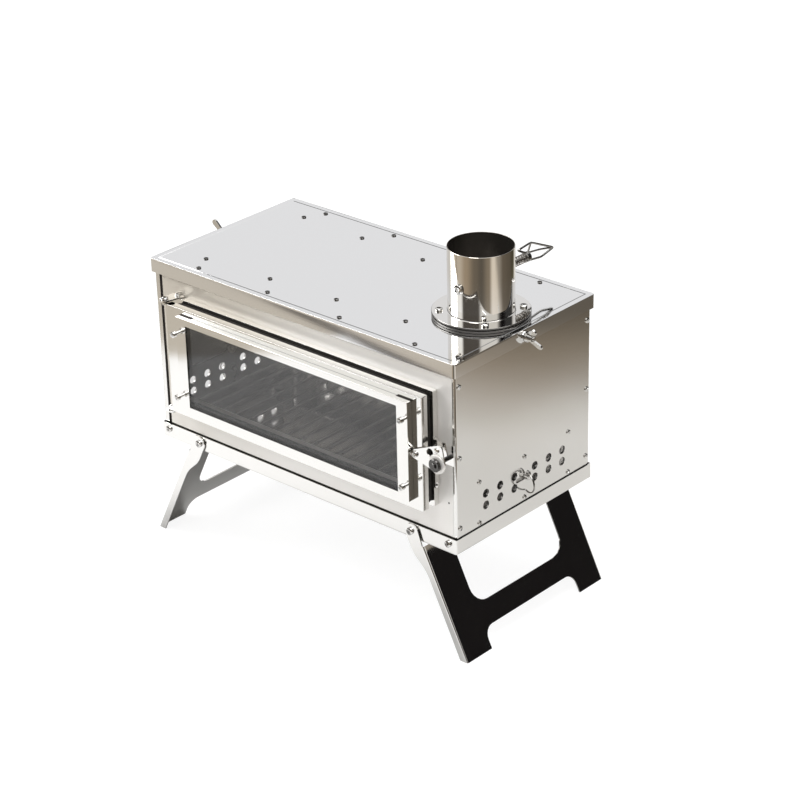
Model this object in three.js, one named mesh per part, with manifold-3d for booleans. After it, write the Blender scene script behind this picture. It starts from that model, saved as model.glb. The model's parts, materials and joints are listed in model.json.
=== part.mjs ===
// A folding wood stove for a tent: a sheet-steel firebox on a tray, a side-hinged
// glass door, two H-shaped folding legs, and a flue collar with a turning damper.
// Millimetres, +Z up, -Y is the door side. The origin is on the floor, at the centre
// of the standing stove's box.
import * as THREE from 'three';
import { mergeVertices } from 'three/addons/utils/BufferGeometryUtils.js';
import Module from 'manifold-3d';

const wasm = await Module();
wasm.setup();

// ---------------------------------------------------------------- driving sizes
const sheet = 1; // wall of every folded steel sheet
const plateWall = 1.5; // wall of legs, hinge plates, latch and catch
const fit = 0.3; // clearance between pieces that touch on the real stove

const boxLength = 445; // firebox over the outer faces of its side panels
const boxWidth = 225; // firebox over its front and back panels
const boxHeight = 222.3; // underside of the tray to the top of the lid

const lidOverhangX = 2.5;
const lidOverhangY = 4.1;
const lidRim = 16.1;

const trayOverhangX = 1.6;
const trayOverhangY = 3.1;
const trayRim = 17;

const legLength = 156; // pivot to sole, along the leg
const legSplay = THREE.MathUtils.degToRad(26.3);
const legWebOffset = 10.5; // pivot to the outer face of the web
const legPivotInset = 61; // from the stove's end
const legPivotRise = 8.7; // pivot above the underside of the tray
const legEarRadius = 8.3;
const legEarDepth = 24; // the wide part of the flange ends here, below the pivot
const legTaperDepth = 48; // the narrow part of the flange starts here
const legFlangeDepth = 9.3;
const legWebTop = 20; // the web starts here, below the pivot
const legWasherGap = 0.9; // tray rim to the inner face of the leg's flange
const legBarTop = 105; // crossbar of the H, from the pivot down
const legBarBottom = 132;
const legPostWidth = 41; // each upright of the H
const legUpperFillet = 20;
const legNotchFillet = 13;

const frontStepLeft = 11.5; // the front panel's face ends this far from the stove's ends
const frontStepRight = 4.5;
const sideFlangeLeft = 8.5; // front flange of the left side panel
const sideFlangeRight = 4.2;
const backFlange = 8.5;
const returnDepth = 12; // folded-back ends of the front and back panels

const surroundInsetLeft = 32.5; // from the stove's ends
const surroundInsetRight = 24;
const surroundDrop = 36.2; // below the lid's top face
const surroundBottom = 51.8; // above the underside of the tray
const surroundDepth = 7.2;
const surroundBorder = 12;

const doorGapLeft = 10; // the door starts this far inside the surround's left edge
const doorGapEnds = 0.7; // and this far inside its top and bottom edges
const doorDepth = 9;
const sealDepth = 8.4;
const sealWidth = 9;
const sealInset = 1;
const sealCorner = 3;

const retainerInsetLeft = 22; // glass retainer inside the door's outline
const retainerInsetRight = 13;
const retainerInsetTop = 6.4;
const retainerInsetBottom = 9.9;
const retainerDepth = 7.2;
const retainerBorderX = 15.2;
const retainerBorderZ = 8;
const doorWindowMargin = 4; // the door's opening, past the retainer's
const doorWindowMarginZ = 3;
const glassThickness = 5;
const glassMargin = 8.9; // glass past the retainer's opening, left and right
const glassMarginZ = 6;
const retainerScrewInset = 3.5;
const retainerScrewRise = 20; // above the retainer's lower edge
const retainerScrewDrop = 18.8; // below its upper edge
const retainerScrewProud = 9.5; // screw head end to the retainer's face

const hingePivotInset = 36.5; // from the stove's left end
const hingePivotForward = 13.4; // in front of the surround's face
const hingePinRadius = 2;
const hingePlateWidth = 16;
const hingePlateEnd = 6;
const hingeScrewShift = 3;
const earRadius = 4.3;

const latchPivotInset = 7.3; // from the door's right edge
const latchPivotRise = 0.8; // above the middle of the door
const latchStandoff = 1.5;
const latchEnd = 5.3;
const knobReach = [30.3, -1.8]; // knob from the latch pivot: right, up
const latchNose = [32.6, 15]; // upper right lobe from the latch pivot
const latchNoseRadius = 5;
const latchLobe = 10.5;
const latchHole = [20.5, 8.6];
const latchHoleRadius = 4.5;
const latchScrewSpot = [29.8, 13.4];
const knobRadius = 8.3;
const knobLength = 5.4;
const knobWasherRadius = 12;
const knobWasher = 1.2;
const knobNeck = 0.4;
const knobChamfer = 0.8;
const knobStem = 1.6;
const latchPinRadius = 2.5;
const catchStripTop = 12.6; // above the latch pivot
const catchStripBottom = 47.4; // below it
const catchReach = 29; // hook plate, past the surround's side
const catchScrewRise = 4.4;
const hookDrop = 9; // hook plate below the knob
const hookMouth = 2.6; // the slot is this much wider at its mouth, each side

const ventPitch = [17.3, 41.2, 64.7]; // vent holes, each side of the middle
const ventRows = [39, 53]; // above the underside of the tray
const ventRadius = 5;
const ventTravel = 12; // slider travel from open to closed
const sliderInset = 32.5; // slider ends, from the corners of the stove
const guideRows = [21.5, 70.5];
const guideInset = 37; // outer guides, from the corners
const guideShank = 1.6;
const guideWasherRadius = 6.5;
const sideScrewInset = 5.5; // from the corners
const sideScrewRise = 28.5; // above the underside of the tray
const sideScrewDrop = 28.8; // below the lid's top face
const studRadius = 2.5;
const studReach = 6.5;
const studHead = { radius: 4.6, height: 1.6 };
const lugThickness = 2;
const lugRadius = 3.4;
const eyeInset = 1.8; // the ring's eye, from the end of the stud
const eyeRise = 5.6; // and above its axis
const ringRadius = 11.2; // wire centre line
const ringWire = 1.3;
const ringYaw = THREE.MathUtils.degToRad(14);

const lidRailScrewInsetX = 62.5; // first and last rail screw, from the stove's ends
const lidRailScrewInsetY = 9.5;
const lidRailEnd = 13.5; // rail past its last screw
const lidRailWidth = 13.5;
const lidRailDepth = 12;
const baffleScrewInset = 50; // first baffle screw, from the stove's left end
const baffleScrewToFlue = 49; // last one, from the middle of the flue
const baffleInletInset = 33.1; // screw line to the long side, at the first screw
const baffleOutletInset = 46.5; // and at the last
const baffleInsetLeft = 32.5;
const baffleInsetRight = 15.5;
const baffleHeight = 28;
const baffleFlange = 12;

const flueInset = 59; // from the stove's right end
const collarRadius = 36.2; // outside, for a 70 mm flue pipe
const collarWall = 0.8;
const collarHeight = 78.8; // above the lid
const collarTail = 4.5; // below the lid's top face
const collarFlangeRadius = 53.2;
const collarScrewCircle = 45;
const baseRingThickness = 2.2;
const gasketThickness = 0.9;
const collarFlangeThickness = 1.8;
const ringBore = 36.8;

const damperRise = 40; // shaft above the lid
const damperGap = 1.4; // plate edge to the collar's bore
const damperThickness = 1.2;
const shaftRadius = 2.5;
const damperRivetSpot = 16; // from the middle of the plate
const damperScrewDepth = 6;
const shaftHubAt = 72.5; // handle hub from the middle of the collar
const hubLength = 6;
const hubRadius = 5.8;
const handleWire = 1.25;
const handleLowBend = [28, -8]; // past the hub's near end, above the shaft
const handleTip = [49.5, -3.7];
const handleTopBend = [10.5, 14.5];
const handleRearEnd = [-12, 12.3];
const handleFoot = [5, 3.8]; // the strut meets the hub here
const springRadius = 4.6;
const springWire = 0.65;
const springTurns = 9;

const wingBoltDrop = 9; // below the lid's top face
const wingBoltRadius = 2.5;
const wingBoltLength = 13.5; // past the side panel
const wingBoltHead = { radius: 4.6, height: 3.5 };
const wingSpan = 14.9; // axis to the tip of a wing
const wingReach = 16.9; // seat to the outer edge of a wing
const wingThickness = 2.4;
const wingTip = 3.7; // radius
const wingRoot = { out: 3.8, up: 3.4, radius: 2.9 };
const wingHub = { foot: 5.6, flange: 3, top: 4.2, height: 8.5 };
const wingTurn = THREE.MathUtils.degToRad(26);

const grateRodPitch = 20;
const grateInset = 22.5; // from the stove's ends and long sides
const grateRodRadius = 1.9;
const grateRailRadius = 2.4;
const grateRise = 33.5; // rail centre above the underside of the tray
const grateRailInset = 28.5; // from the long sides
const grateOverhang = 3; // rail ends past the last rod

const panHead = { radius: 3, height: 1.8 }; // small screws and rivets
const smallShank = 1.5;
const smallNut = { radius: 2.8, height: 2.2 };
const boltHead = { radius: 4.2, height: 2.8 }; // leg, flange and damper screws
const boltShank = 2;
const boltNut = { radius: 3.6, height: 2.4 };
const boltEnd = 0.8; // thread past a nut
const legScrewShank = 2.5;
const legScrewCollar = { radius: 4.4, height: 1.4 };
const hingeScrewHead = { radius: 3, height: 3.2 };
const hingePinHead = { radius: 4.2, height: 2.4 };
const hingeWasherRadius = 3.8;
const retainerScrewHead = { radius: 3.4, height: 5.5 };
const latchScrewHead = { radius: 3.6, height: 2.4 };
const trayScrewHead = { radius: 3.9, height: 2.6 };
const trayScrewInset = 9.5; // from the stove's ends
const trayScrewRise = 10.5; // above the underside of the tray
const sink = 0.2; // a head made with its sheet sits this deep
const screwSides = 8;
const rivetSides = 6; // small screws and rivets that are made with their sheet

// ---------------------------------------------------------------- derived places
const halfX = boxLength / 2;
const halfY = boxWidth / 2;
const legPivotX = halfX - legPivotInset;
const collarX = halfX - flueInset;
const hingePivotX = halfX - hingePivotInset;
const pivotZ = legLength * Math.cos(legSplay) - legWebOffset * Math.sin(legSplay);
const baseZ = pivotZ - legPivotRise; // underside of the tray
const lidTop = baseZ + boxHeight;
const lidUnder = lidTop - sheet;
const panelBottom = baseZ + sheet + fit;
const panelTop = lidUnder - fit;
const innerFaceX = halfX - sheet;
const trayFaceY = halfY + trayOverhangY;

const surroundBack = -halfY - fit;
const surroundFace = surroundBack - surroundDepth;
const surroundLeft = halfX - surroundInsetLeft;
const surroundRight = halfX - surroundInsetRight;
const surroundZ = [baseZ + surroundBottom, lidTop - surroundDrop];
const windowX = [-surroundLeft + surroundBorder, surroundRight - surroundBorder];
const windowZ = [surroundZ[0] + surroundBorder, surroundZ[1] - surroundBorder];

const sealBack = surroundFace - fit;
const doorBack = sealBack - sealDepth - fit;
const doorFace = doorBack - doorDepth;
const doorX = [-surroundLeft + doorGapLeft, surroundRight];
const doorZ = [surroundZ[0] + doorGapEnds + fit, surroundZ[1] - doorGapEnds];

const retainerX = [doorX[0] + retainerInsetLeft, doorX[1] - retainerInsetRight];
const retainerZ = [doorZ[0] + retainerInsetBottom, doorZ[1] - retainerInsetTop];
const retainerBack = doorFace - fit;
const retainerFace = retainerBack - retainerDepth;
const glassWindowX = [retainerX[0] + retainerBorderX, retainerX[1] - retainerBorderX];
const glassWindowZ = [retainerZ[0] + retainerBorderZ, retainerZ[1] - retainerBorderZ];
const glassFront = retainerFace + sheet + fit;

const hingeY = surroundFace - hingePivotForward;
const latchX = doorX[1] - latchPivotInset;
const latchZ = (doorZ[0] + doorZ[1]) / 2 + latchPivotRise;
const latchBack = doorFace - latchStandoff;
const latchFace = latchBack - plateWall;
const knobX = latchX + knobReach[0];
const knobZ = latchZ + knobReach[1];

const slotZ = baseZ + (ventRows[0] + ventRows[1]) / 2;
const sliderOuter = innerFaceX - fit;
const sliderInner = sliderOuter - sheet;

const baseRingZ = lidTop + fit;
const gasketZ = baseRingZ + baseRingThickness + fit;
const collarFlangeZ = gasketZ + gasketThickness + fit;
const collarFlangeTop = collarFlangeZ + collarFlangeThickness;
const damperZ = lidTop + damperRise;
const collarBore = collarRadius - collarWall;

// ---------------------------------------------------------------- materials
function steel(color, roughness) {
  return new THREE.MeshStandardMaterial({ color, roughness, metalness: 1 });
}
const polishedSteel = steel(0xcfcdc9, 0.12);
const brushedSteel = steel(0xd8d8d8, 0.32);
const heatTintedSteel = steel(0xb8a892, 0.14);
const screwSteel = steel(0xc4c2be, 0.2);
const darkSteel = steel(0x55524e, 0.25);
const springSteel = steel(0x6b655e, 0.35);
const grateSteel = steel(0xb9b6b0, 0.3);
const ropeSeal = new THREE.MeshStandardMaterial({ color: 0x16130f, roughness: 0.95, metalness: 0 });
const gasketSheet = new THREE.MeshStandardMaterial({ color: 0x24211e, roughness: 0.9, metalness: 0 });
const ceramicGlass = new THREE.MeshStandardMaterial({
  color: 0x6a6765,
  roughness: 0.05,
  metalness: 0,
  transparent: true,
  opacity: 0.35,
});

// ---------------------------------------------------------------- solid helpers
const weldDistance = 1e-4;

// Turns a closed geometry into a solid that can be joined and cut.
function solidFrom(geometry) {
  geometry.deleteAttribute('normal');
  geometry.deleteAttribute('uv');
  const merged = mergeVertices(geometry, weldDistance);
  const corners = merged.index.array;
  const triangles = [];
  for (let i = 0; i < corners.length; i += 3) {
    const [a, b, c] = corners.slice(i, i + 3);
    if (a !== b && b !== c && c !== a) triangles.push(a, b, c);
  }
  return new wasm.Manifold(new wasm.Mesh({
    numProp: 3,
    vertProperties: new Float32Array(merged.attributes.position.array),
    triVerts: new Uint32Array(triangles),
  }));
}

const unitX = new THREE.Vector3(1, 0, 0);
const unitY = new THREE.Vector3(0, 1, 0);
const unitZ = new THREE.Vector3(0, 0, 1);

// How a flat outline (u, v) is laid when it is extruded along an axis.
const layAlong = {
  x: new THREE.Matrix4().makeBasis(unitY, unitZ, unitX), // u = y, v = z
  y: new THREE.Matrix4().makeBasis(unitX, unitZ, unitY.clone().negate()), // u = x, v = z
  z: new THREE.Matrix4(), // u = x, v = y
};

function prism(outline, axis, from, to, curveSegments = 4) {
  const options = { depth: to - from, bevelEnabled: false, curveSegments };
  const geometry = new THREE.ExtrudeGeometry(outline, options);
  geometry.translate(0, 0, axis === 'y' ? -to : from);
  geometry.applyMatrix4(layAlong[axis]);
  return solidFrom(geometry);
}

function block([x0, x1], [y0, y1], [z0, z1]) {
  const geometry = new THREE.BoxGeometry(x1 - x0, y1 - y0, z1 - z0);
  geometry.translate((x0 + x1) / 2, (y0 + y1) / 2, (z0 + z1) / 2);
  return solidFrom(geometry);
}

const facing = {
  up: unitZ,
  down: unitZ.clone().negate(),
  front: unitY.clone().negate(),
  back: unitY,
  right: unitX,
  left: unitX.clone().negate(),
};

// A turned piece: [radius, height] pairs from the bottom up, standing on a spot.
function turned(profile, [x, y, z], direction = 'up', segments = screwSides) {
  const points = profile.map(([radius, height]) => new THREE.Vector2(radius, height));
  const geometry = new THREE.LatheGeometry(points, segments);
  const turn = new THREE.Quaternion().setFromUnitVectors(unitY, facing[direction]);
  geometry.applyQuaternion(turn);
  geometry.translate(x, y, z);
  return solidFrom(geometry);
}

function rod(radius, length, spot, direction, segments = screwSides) {
  return turned([[0, 0], [radius, 0], [radius, length], [0, length]], spot, direction, segments);
}

function ringDisc(outer, inner, length, spot, segments) {
  const profile = [[inner, 0], [outer, 0], [outer, length], [inner, length], [inner, 0]];
  return turned(profile, spot, 'up', segments);
}

// A screw seen from its head: the head stands on the spot, the shank runs inwards,
// and a nut or a collar may sit on the shank at given depths.
function screw(spot, direction, { head, shank, depth, nuts = [], segments = screwSides }) {
  const profile = [[0, -depth]];
  for (const { radius, from, to } of [...nuts].sort((a, b) => b.to - a.to)) {
    if (to < depth) profile.push([shank, profile.length === 1 ? -depth : -to], [shank, -to]);
    profile.push([radius, -to], [radius, -from], [shank, -from]);
  }
  if (profile.length === 1) profile.push([shank, -depth]);
  profile.push([shank, 0], [head.radius, 0], [head.radius, head.height * 0.5]);
  profile.push([head.radius * 0.65, head.height], [0, head.height]);
  const clean = profile.filter(([r, h], i) => !i || r !== profile[i - 1][0] || h !== profile[i - 1][1]);
  return turned(clean, spot, direction, segments);
}

function nutFrom(from) {
  return { radius: boltNut.radius, from, to: from + boltNut.height };
}

function join(...solids) {
  return solids.reduce((sum, next) => sum.add(next));
}

function cut(body, ...tools) {
  return tools.reduce((rest, tool) => rest.subtract(tool), body);
}

function rectangle([u0, u1], [v0, v1], radius = 0) {
  const shape = new THREE.Shape();
  if (!radius) {
    shape.moveTo(u0, v0).lineTo(u1, v0).lineTo(u1, v1).lineTo(u0, v1).closePath();
    return shape;
  }
  shape.absarc(u1 - radius, v0 + radius, radius, -Math.PI / 2, 0);
  shape.absarc(u1 - radius, v1 - radius, radius, 0, Math.PI / 2);
  shape.absarc(u0 + radius, v1 - radius, radius, Math.PI / 2, Math.PI);
  shape.absarc(u0 + radius, v0 + radius, radius, Math.PI, Math.PI * 1.5);
  shape.closePath();
  return shape;
}

// The tight outline round a few circles [u, v, radius].
function wrapCircles(circles, sides = 12) {
  const points = circles.flatMap(([u, v, radius]) => Array.from({ length: sides }, (_, i) => {
    const angle = (i * 2 * Math.PI) / sides;
    return [u + radius * Math.cos(angle), v + radius * Math.sin(angle)];
  }));
  points.sort((a, b) => a[0] - b[0] || a[1] - b[1]);
  const bends = ([ax, ay], [bx, by], [cx, cy]) => (bx - ax) * (cy - ay) - (by - ay) * (cx - ax);
  const half = (list) => list.reduce((hull, point) => {
    while (hull.length > 1 && bends(hull.at(-2), hull.at(-1), point) <= 0) hull.pop();
    hull.push(point);
    return hull;
  }, []);
  const hull = [...half(points).slice(0, -1), ...half([...points].reverse()).slice(0, -1)];
  return new THREE.Shape(hull.map(([u, v]) => new THREE.Vector2(u, v)));
}

// The outline of a folded strip: a line along one face, with the wall on its left.
function foldedStrip(points, wall) {
  const face = points.map(([u, v]) => new THREE.Vector2(u, v));
  const normals = face.slice(1).map((point, i) => {
    const run = point.clone().sub(face[i]).normalize();
    return new THREE.Vector2(-run.y, run.x);
  });
  const inner = face.map((point, i) => {
    const before = normals[Math.max(i - 1, 0)];
    const after = normals[Math.min(i, normals.length - 1)];
    const mitre = before.clone().add(after);
    return point.clone().addScaledVector(mitre, (2 * wall) / mitre.lengthSq());
  });
  return new THREE.Shape([...face, ...inner.reverse()]);
}

const group = new THREE.Group();

function addPiece(name, solid, material, parent = group) {
  const { vertProperties, triVerts } = solid.getMesh();
  const geometry = new THREE.BufferGeometry();
  geometry.setAttribute('position', new THREE.BufferAttribute(new Float32Array(vertProperties), 3));
  geometry.setIndex(new THREE.BufferAttribute(new Uint32Array(triVerts), 1));
  geometry.computeVertexNormals();
  const mesh = new THREE.Mesh(geometry, material);
  mesh.name = name;
  parent.add(mesh);
  return mesh;
}

const sides = { left: -1, right: 1 };

// ---------------------------------------------------------------- fastener places
const trayScrewX = halfX - trayScrewInset;
const trayScrewZ = baseZ + trayScrewRise;
const legScrewHole = legScrewShank + fit;
const boltHole = boltShank + fit;
const smallHole = smallShank + fit;
const wingBoltZ = lidTop - wingBoltDrop;
const wingBoltHole = wingBoltRadius + fit;

function evenly(first, last, count) {
  return Array.from({ length: count }, (_, i) => first + ((last - first) * i) / (count - 1));
}

const guideSpots = evenly(guideInset - halfY, halfY - guideInset, 3);
const sideScrewSpot = halfY - sideScrewInset;
const sideScrewRows = evenly(baseZ + sideScrewRise, lidTop - sideScrewDrop, 3);
const lidRailSpots = evenly(lidRailScrewInsetX - halfX, halfX - lidRailScrewInsetX, 4);
const lidRailScrewY = halfY - lidRailScrewInsetY;
const baffleSpots = evenly(baffleScrewInset - halfX, collarX - baffleScrewToFlue, 4);

// Half the width of the baffle's screw lines, which draw together towards the flue.
function baffleLine(x) {
  const share = (x - baffleSpots[0]) / (baffleSpots.at(-1) - baffleSpots[0]);
  const inset = baffleInletInset + share * (baffleOutletInset - baffleInletInset);
  return halfY - inset;
}

const railScrews = lidRailSpots.flatMap((x) => [-1, 1].map((end) => [x, end * lidRailScrewY]));
const baffleScrews = baffleSpots.flatMap((x) => [-1, 1].map((end) => [x, end * baffleLine(x)]));

const collarScrews = [45, 135, 225, 315].map((angle) => {
  const turn = THREE.MathUtils.degToRad(angle);
  return [collarX + collarScrewCircle * Math.cos(turn), collarScrewCircle * Math.sin(turn)];
});

const retainerScrewRows = [retainerZ[0] + retainerScrewRise, retainerZ[1] - retainerScrewDrop];
const retainerScrewSpots = [retainerX[0] + retainerScrewInset, retainerX[1] - retainerScrewInset]
  .flatMap((x) => retainerScrewRows.map((z) => [x, z]));

const hingeScrewSpot = [-hingePivotX + hingeScrewShift, (surroundFace + sheet + surroundBack) / 2];
const hingePlates = [
  { name: 'upper', way: 'up', seatZ: surroundZ[1], plateZ: surroundZ[1] + fit },
  { name: 'lower', way: 'down', seatZ: surroundZ[0], plateZ: surroundZ[0] - fit - plateWall },
];

const catchY = (surroundFace + surroundBack) / 2;
const catchInner = surroundRight + fit;
const catchScrewZ = latchZ - catchStripBottom + catchScrewRise;

const traySpots = Object.values(sides).flatMap((x) => Object.values(sides).map((y) => [x, y]));

// ---------------------------------------------------------------- firebox
function baseTray() {
  const outerX = halfX + trayOverhangX;
  const rimTop = baseZ + trayRim;
  const body = block([-outerX, outerX], [-trayFaceY, trayFaceY], [baseZ, rimTop]);
  const hollowX = outerX - sheet;
  const hollowY = trayFaceY - sheet;
  const hollow = block([-hollowX, hollowX], [-hollowY, hollowY], [baseZ + sheet, rimTop + sheet]);
  const holes = traySpots.flatMap(([x, y]) => {
    const start = y * (hollowY - sheet);
    const way = y < 0 ? 'front' : 'back';
    return [
      rod(legScrewHole, 3 * sheet, [x * legPivotX, start, pivotZ], way),
      rod(boltHole, 3 * sheet, [x * trayScrewX, start, trayScrewZ], way),
    ];
  });
  return cut(body, hollow, ...holes);
}

// A side panel folds round the corners; screws and slider guides are riveted to it.
function sidePanel(side, frontFlange) {
  const line = [
    [halfX - frontFlange, -halfY],
    [halfX, -halfY],
    [halfX, halfY],
    [halfX - backFlange, halfY],
  ].map(([x, y]) => [x * side, y]);
  if (side < 0) line.reverse();
  const body = prism(foldedStrip(line, sheet), 'z', panelBottom, panelTop);
  const way = side < 0 ? 'left' : 'right';
  const inside = side * (innerFaceX - sheet);
  const vents = ventPitch.flatMap((y) => [-y, y]).flatMap((y) => ventRows.map(
    (row) => rod(ventRadius, 3 * sheet, [inside, y, baseZ + row], way, 10),
  ));
  const slotRadius = studRadius + fit;
  const slotEnds = [[-ventTravel, slotZ, slotRadius], [0, slotZ, slotRadius]];
  const reach = [inside, inside + side * 3 * sheet].sort((a, b) => a - b);
  const slot = prism(wrapCircles(slotEnds), 'x', ...reach);
  const wingHole = rod(wingBoltHole, 3 * sheet, [inside, 0, wingBoltZ], way);
  const trayScrewHoles = [-1, 1].map((end) => rod(
    boltHole,
    3 * sheet,
    [side * trayScrewX, end * (halfY - 2 * sheet), trayScrewZ],
    end < 0 ? 'front' : 'back',
  ));
  const guideDepth = sheet + fit + sheet + fit;
  const guides = guideSpots.flatMap((y) => guideRows.map((row) => screw(
    [side * (halfX - fit), y, baseZ + row],
    way,
    {
      head: panHead,
      shank: guideShank,
      depth: guideDepth + sheet,
      nuts: [{ radius: guideWasherRadius, from: guideDepth - fit, to: guideDepth + sheet }],
      segments: rivetSides,
    },
  )));
  const edgeDepth = sheet + fit + sheet + smallNut.height;
  const edgeScrews = [-1, 1].flatMap((end) => sideScrewRows.map((z) => screw(
    [side * (halfX - fit), end * sideScrewSpot, z],
    way,
    { head: panHead, shank: smallShank, depth: edgeDepth, segments: rivetSides },
  )));
  return join(cut(body, ...vents, slot, wingHole, ...trayScrewHoles), ...guides, ...edgeScrews);
}

// Front and back panels are alike: the ends step behind the side flanges.
function endPanel(leftEdge, rightEdge) {
  const step = sheet + fit;
  const end = innerFaceX - fit;
  const line = [
    [-end, -halfY + step + returnDepth],
    [-end, -halfY + step],
    [-leftEdge, -halfY + step],
    [-leftEdge, -halfY],
    [rightEdge, -halfY],
    [rightEdge, -halfY + step],
    [end, -halfY + step],
    [end, -halfY + step + returnDepth],
  ];
  const body = prism(foldedStrip(line, sheet), 'z', panelBottom, panelTop);
  const holes = Object.values(sides).flatMap((side) => [
    rod(boltHole, 4 * sheet, [side * trayScrewX, -halfY + 3 * sheet, trayScrewZ], 'front'),
    ...sideScrewRows.map((z) => rod(
      smallHole,
      4 * sheet,
      [side * (end - 2 * sheet), -sideScrewSpot, z],
      side < 0 ? 'left' : 'right',
      rivetSides,
    )),
  ]);
  return cut(body, ...holes);
}

function frontPanel() {
  const window = block(windowX, [-halfY - sheet, -halfY + 2 * sheet], windowZ);
  return cut(endPanel(halfX - frontStepLeft, halfX - frontStepRight), window);
}

function backPanel() {
  const edge = halfX - backFlange - fit;
  return endPanel(edge, edge).rotate([0, 0, 180]);
}

function doorSurround() {
  const body = block([-surroundLeft, surroundRight], [surroundFace, surroundBack], surroundZ);
  const hollow = block(
    [-surroundLeft + sheet, surroundRight - sheet],
    [surroundFace + sheet, surroundBack + sheet],
    [surroundZ[0] + sheet, surroundZ[1] - sheet],
  );
  const window = block(windowX, [surroundFace - sheet, surroundBack + sheet], windowZ);
  const screwHoles = hingePlates.map(({ way, seatZ }) => rod(
    smallHole,
    3 * sheet,
    [...hingeScrewSpot, seatZ - (way === 'up' ? 2 : -2) * sheet],
    way,
    rivetSides,
  ));
  const catchHole = rod(
    smallHole,
    3 * sheet,
    [surroundRight - 2 * sheet, catchY, catchScrewZ],
    'right',
    rivetSides,
  );
  return cut(body, hollow, window, ...screwHoles, catchHole);
}

// ---------------------------------------------------------------- lid and flue
function lid() {
  const outerX = halfX + lidOverhangX;
  const outerY = halfY + lidOverhangY;
  const body = block([-outerX, outerX], [-outerY, outerY], [lidTop - lidRim, lidTop]);
  const hollow = block(
    [-outerX + sheet, outerX - sheet],
    [-outerY + sheet, outerY - sheet],
    [lidTop - lidRim - sheet, lidUnder],
  );
  const flueHole = rod(ringBore, 3 * sheet, [collarX, 0, lidUnder - sheet], 'up', 32);
  const wingHoles = Object.entries(sides).map(([way, side]) => rod(
    wingBoltHole,
    3 * sheet,
    [side * (outerX - 2 * sheet), 0, wingBoltZ],
    way,
  ));
  const collarHoles = collarScrews.map(([x, y]) => rod(
    boltHole,
    3 * sheet,
    [x, y, lidUnder - sheet],
    'up',
    rivetSides,
  ));
  const hangingScrews = [...railScrews, ...baffleScrews].map(([x, y]) => lidScrew(x, y));
  return join(cut(body, hollow, flueHole, ...wingHoles, ...collarHoles), ...hangingScrews);
}

// A lid screw clamps the flange of a rail or of the baffle with a nut below it.
function lidScrew(x, y) {
  const nutTop = 2 * sheet + 2 * fit;
  const headTop = panHead.height - sink;
  return turned([
    [0, -nutTop - smallNut.height],
    [smallNut.radius, -nutTop - smallNut.height],
    [smallNut.radius, -nutTop],
    [smallShank, -nutTop],
    [smallShank, -sink],
    [panHead.radius, -sink],
    [panHead.radius * 0.65, headTop],
    [0, headTop],
  ], [x, y, lidTop], 'up', rivetSides);
}

function lidRail(end) {
  const faceY = halfY - sheet - fit - sheet - fit;
  const length = lidRailSpots.at(-1) + lidRailEnd;
  const line = [
    [-faceY + lidRailWidth, panelTop],
    [-faceY, panelTop],
    [-faceY, panelTop - lidRailDepth],
  ];
  const rail = prism(foldedStrip(line, sheet), 'x', -length, length);
  const holes = lidRailSpots.map((x) => rod(
    smallHole,
    3 * sheet,
    [x, -lidRailScrewY, panelTop - 2 * sheet],
    'up',
    rivetSides,
  ));
  const front = cut(rail, ...holes);
  return end < 0 ? front : front.rotate([0, 0, 180]);
}

function smokeBaffle() {
  const footprint = (inset, from, to) => {
    const shape = new THREE.Shape();
    shape.moveTo(from, -baffleLine(from) + inset).lineTo(to, -baffleLine(to) + inset);
    shape.lineTo(to, baffleLine(to) - inset).lineTo(from, baffleLine(from) - inset).closePath();
    return shape;
  };
  const web = baffleFlange / 2;
  const bottom = panelTop - baffleHeight;
  const leftEnd = baffleInsetLeft - halfX;
  const rightEnd = halfX - baffleInsetRight;
  const outer = prism(footprint(web, leftEnd, rightEnd), 'z', bottom, panelTop);
  const flange = prism(footprint(-web, leftEnd, rightEnd), 'z', panelTop - sheet, panelTop);
  const duct = prism(
    footprint(web + sheet, leftEnd - sheet, rightEnd - sheet),
    'z',
    bottom + sheet,
    panelTop + sheet,
  );
  const holes = baffleScrews.map(([x, y]) => rod(
    smallHole,
    3 * sheet,
    [x, y, panelTop - 2 * sheet],
    'up',
    rivetSides,
  ));
  return cut(join(outer, flange), duct, ...holes);
}

function ringPlate(z, thickness, outer) {
  const holes = collarScrews.map(([x, y]) => rod(
    boltHole,
    thickness + 2 * sheet,
    [x, y, z - sheet],
    'up',
    rivetSides,
  ));
  return cut(ringDisc(outer, ringBore, thickness, [collarX, 0, z], 32), ...holes);
}

function flueCollar() {
  const bottom = lidTop - collarTail;
  const height = collarHeight + collarTail;
  const foot = collarFlangeZ - bottom;
  const top = collarFlangeTop - bottom;
  const profile = [
    [collarBore, 0],
    [collarRadius, 0],
    [collarRadius, foot],
    [collarFlangeRadius, foot],
    [collarFlangeRadius, top],
    [collarRadius, top],
    [collarRadius, height],
    [collarBore, height],
    [collarBore, 0],
  ];
  const body = turned(profile, [collarX, 0, bottom], 'up', 32);
  const holes = collarScrews.map(([x, y]) => rod(
    boltHole,
    collarFlangeThickness + 4 * sheet,
    [x, y, collarFlangeZ - 2 * sheet],
    'up',
    rivetSides,
  ));
  const inside = collarBore - 2 * sheet;
  const frontHole = rod(boltHole, 4 * sheet, [collarX, -inside, damperZ], 'front', rivetSides);
  const backHole = rod(shaftRadius + fit, 4 * sheet, [collarX, inside, damperZ], 'back');
  return cut(body, ...holes, frontHole, backHole);
}

function flangeScrew(x, y) {
  const nut = nutFrom(collarFlangeTop - lidUnder + 2 * fit);
  return screw(
    [x, y, collarFlangeTop + fit],
    'up',
    { head: boltHead, shank: boltShank, depth: nut.to, nuts: [nut] },
  );
}

// ---------------------------------------------------------------- damper
const shaftFront = -collarBore + 1;

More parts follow.
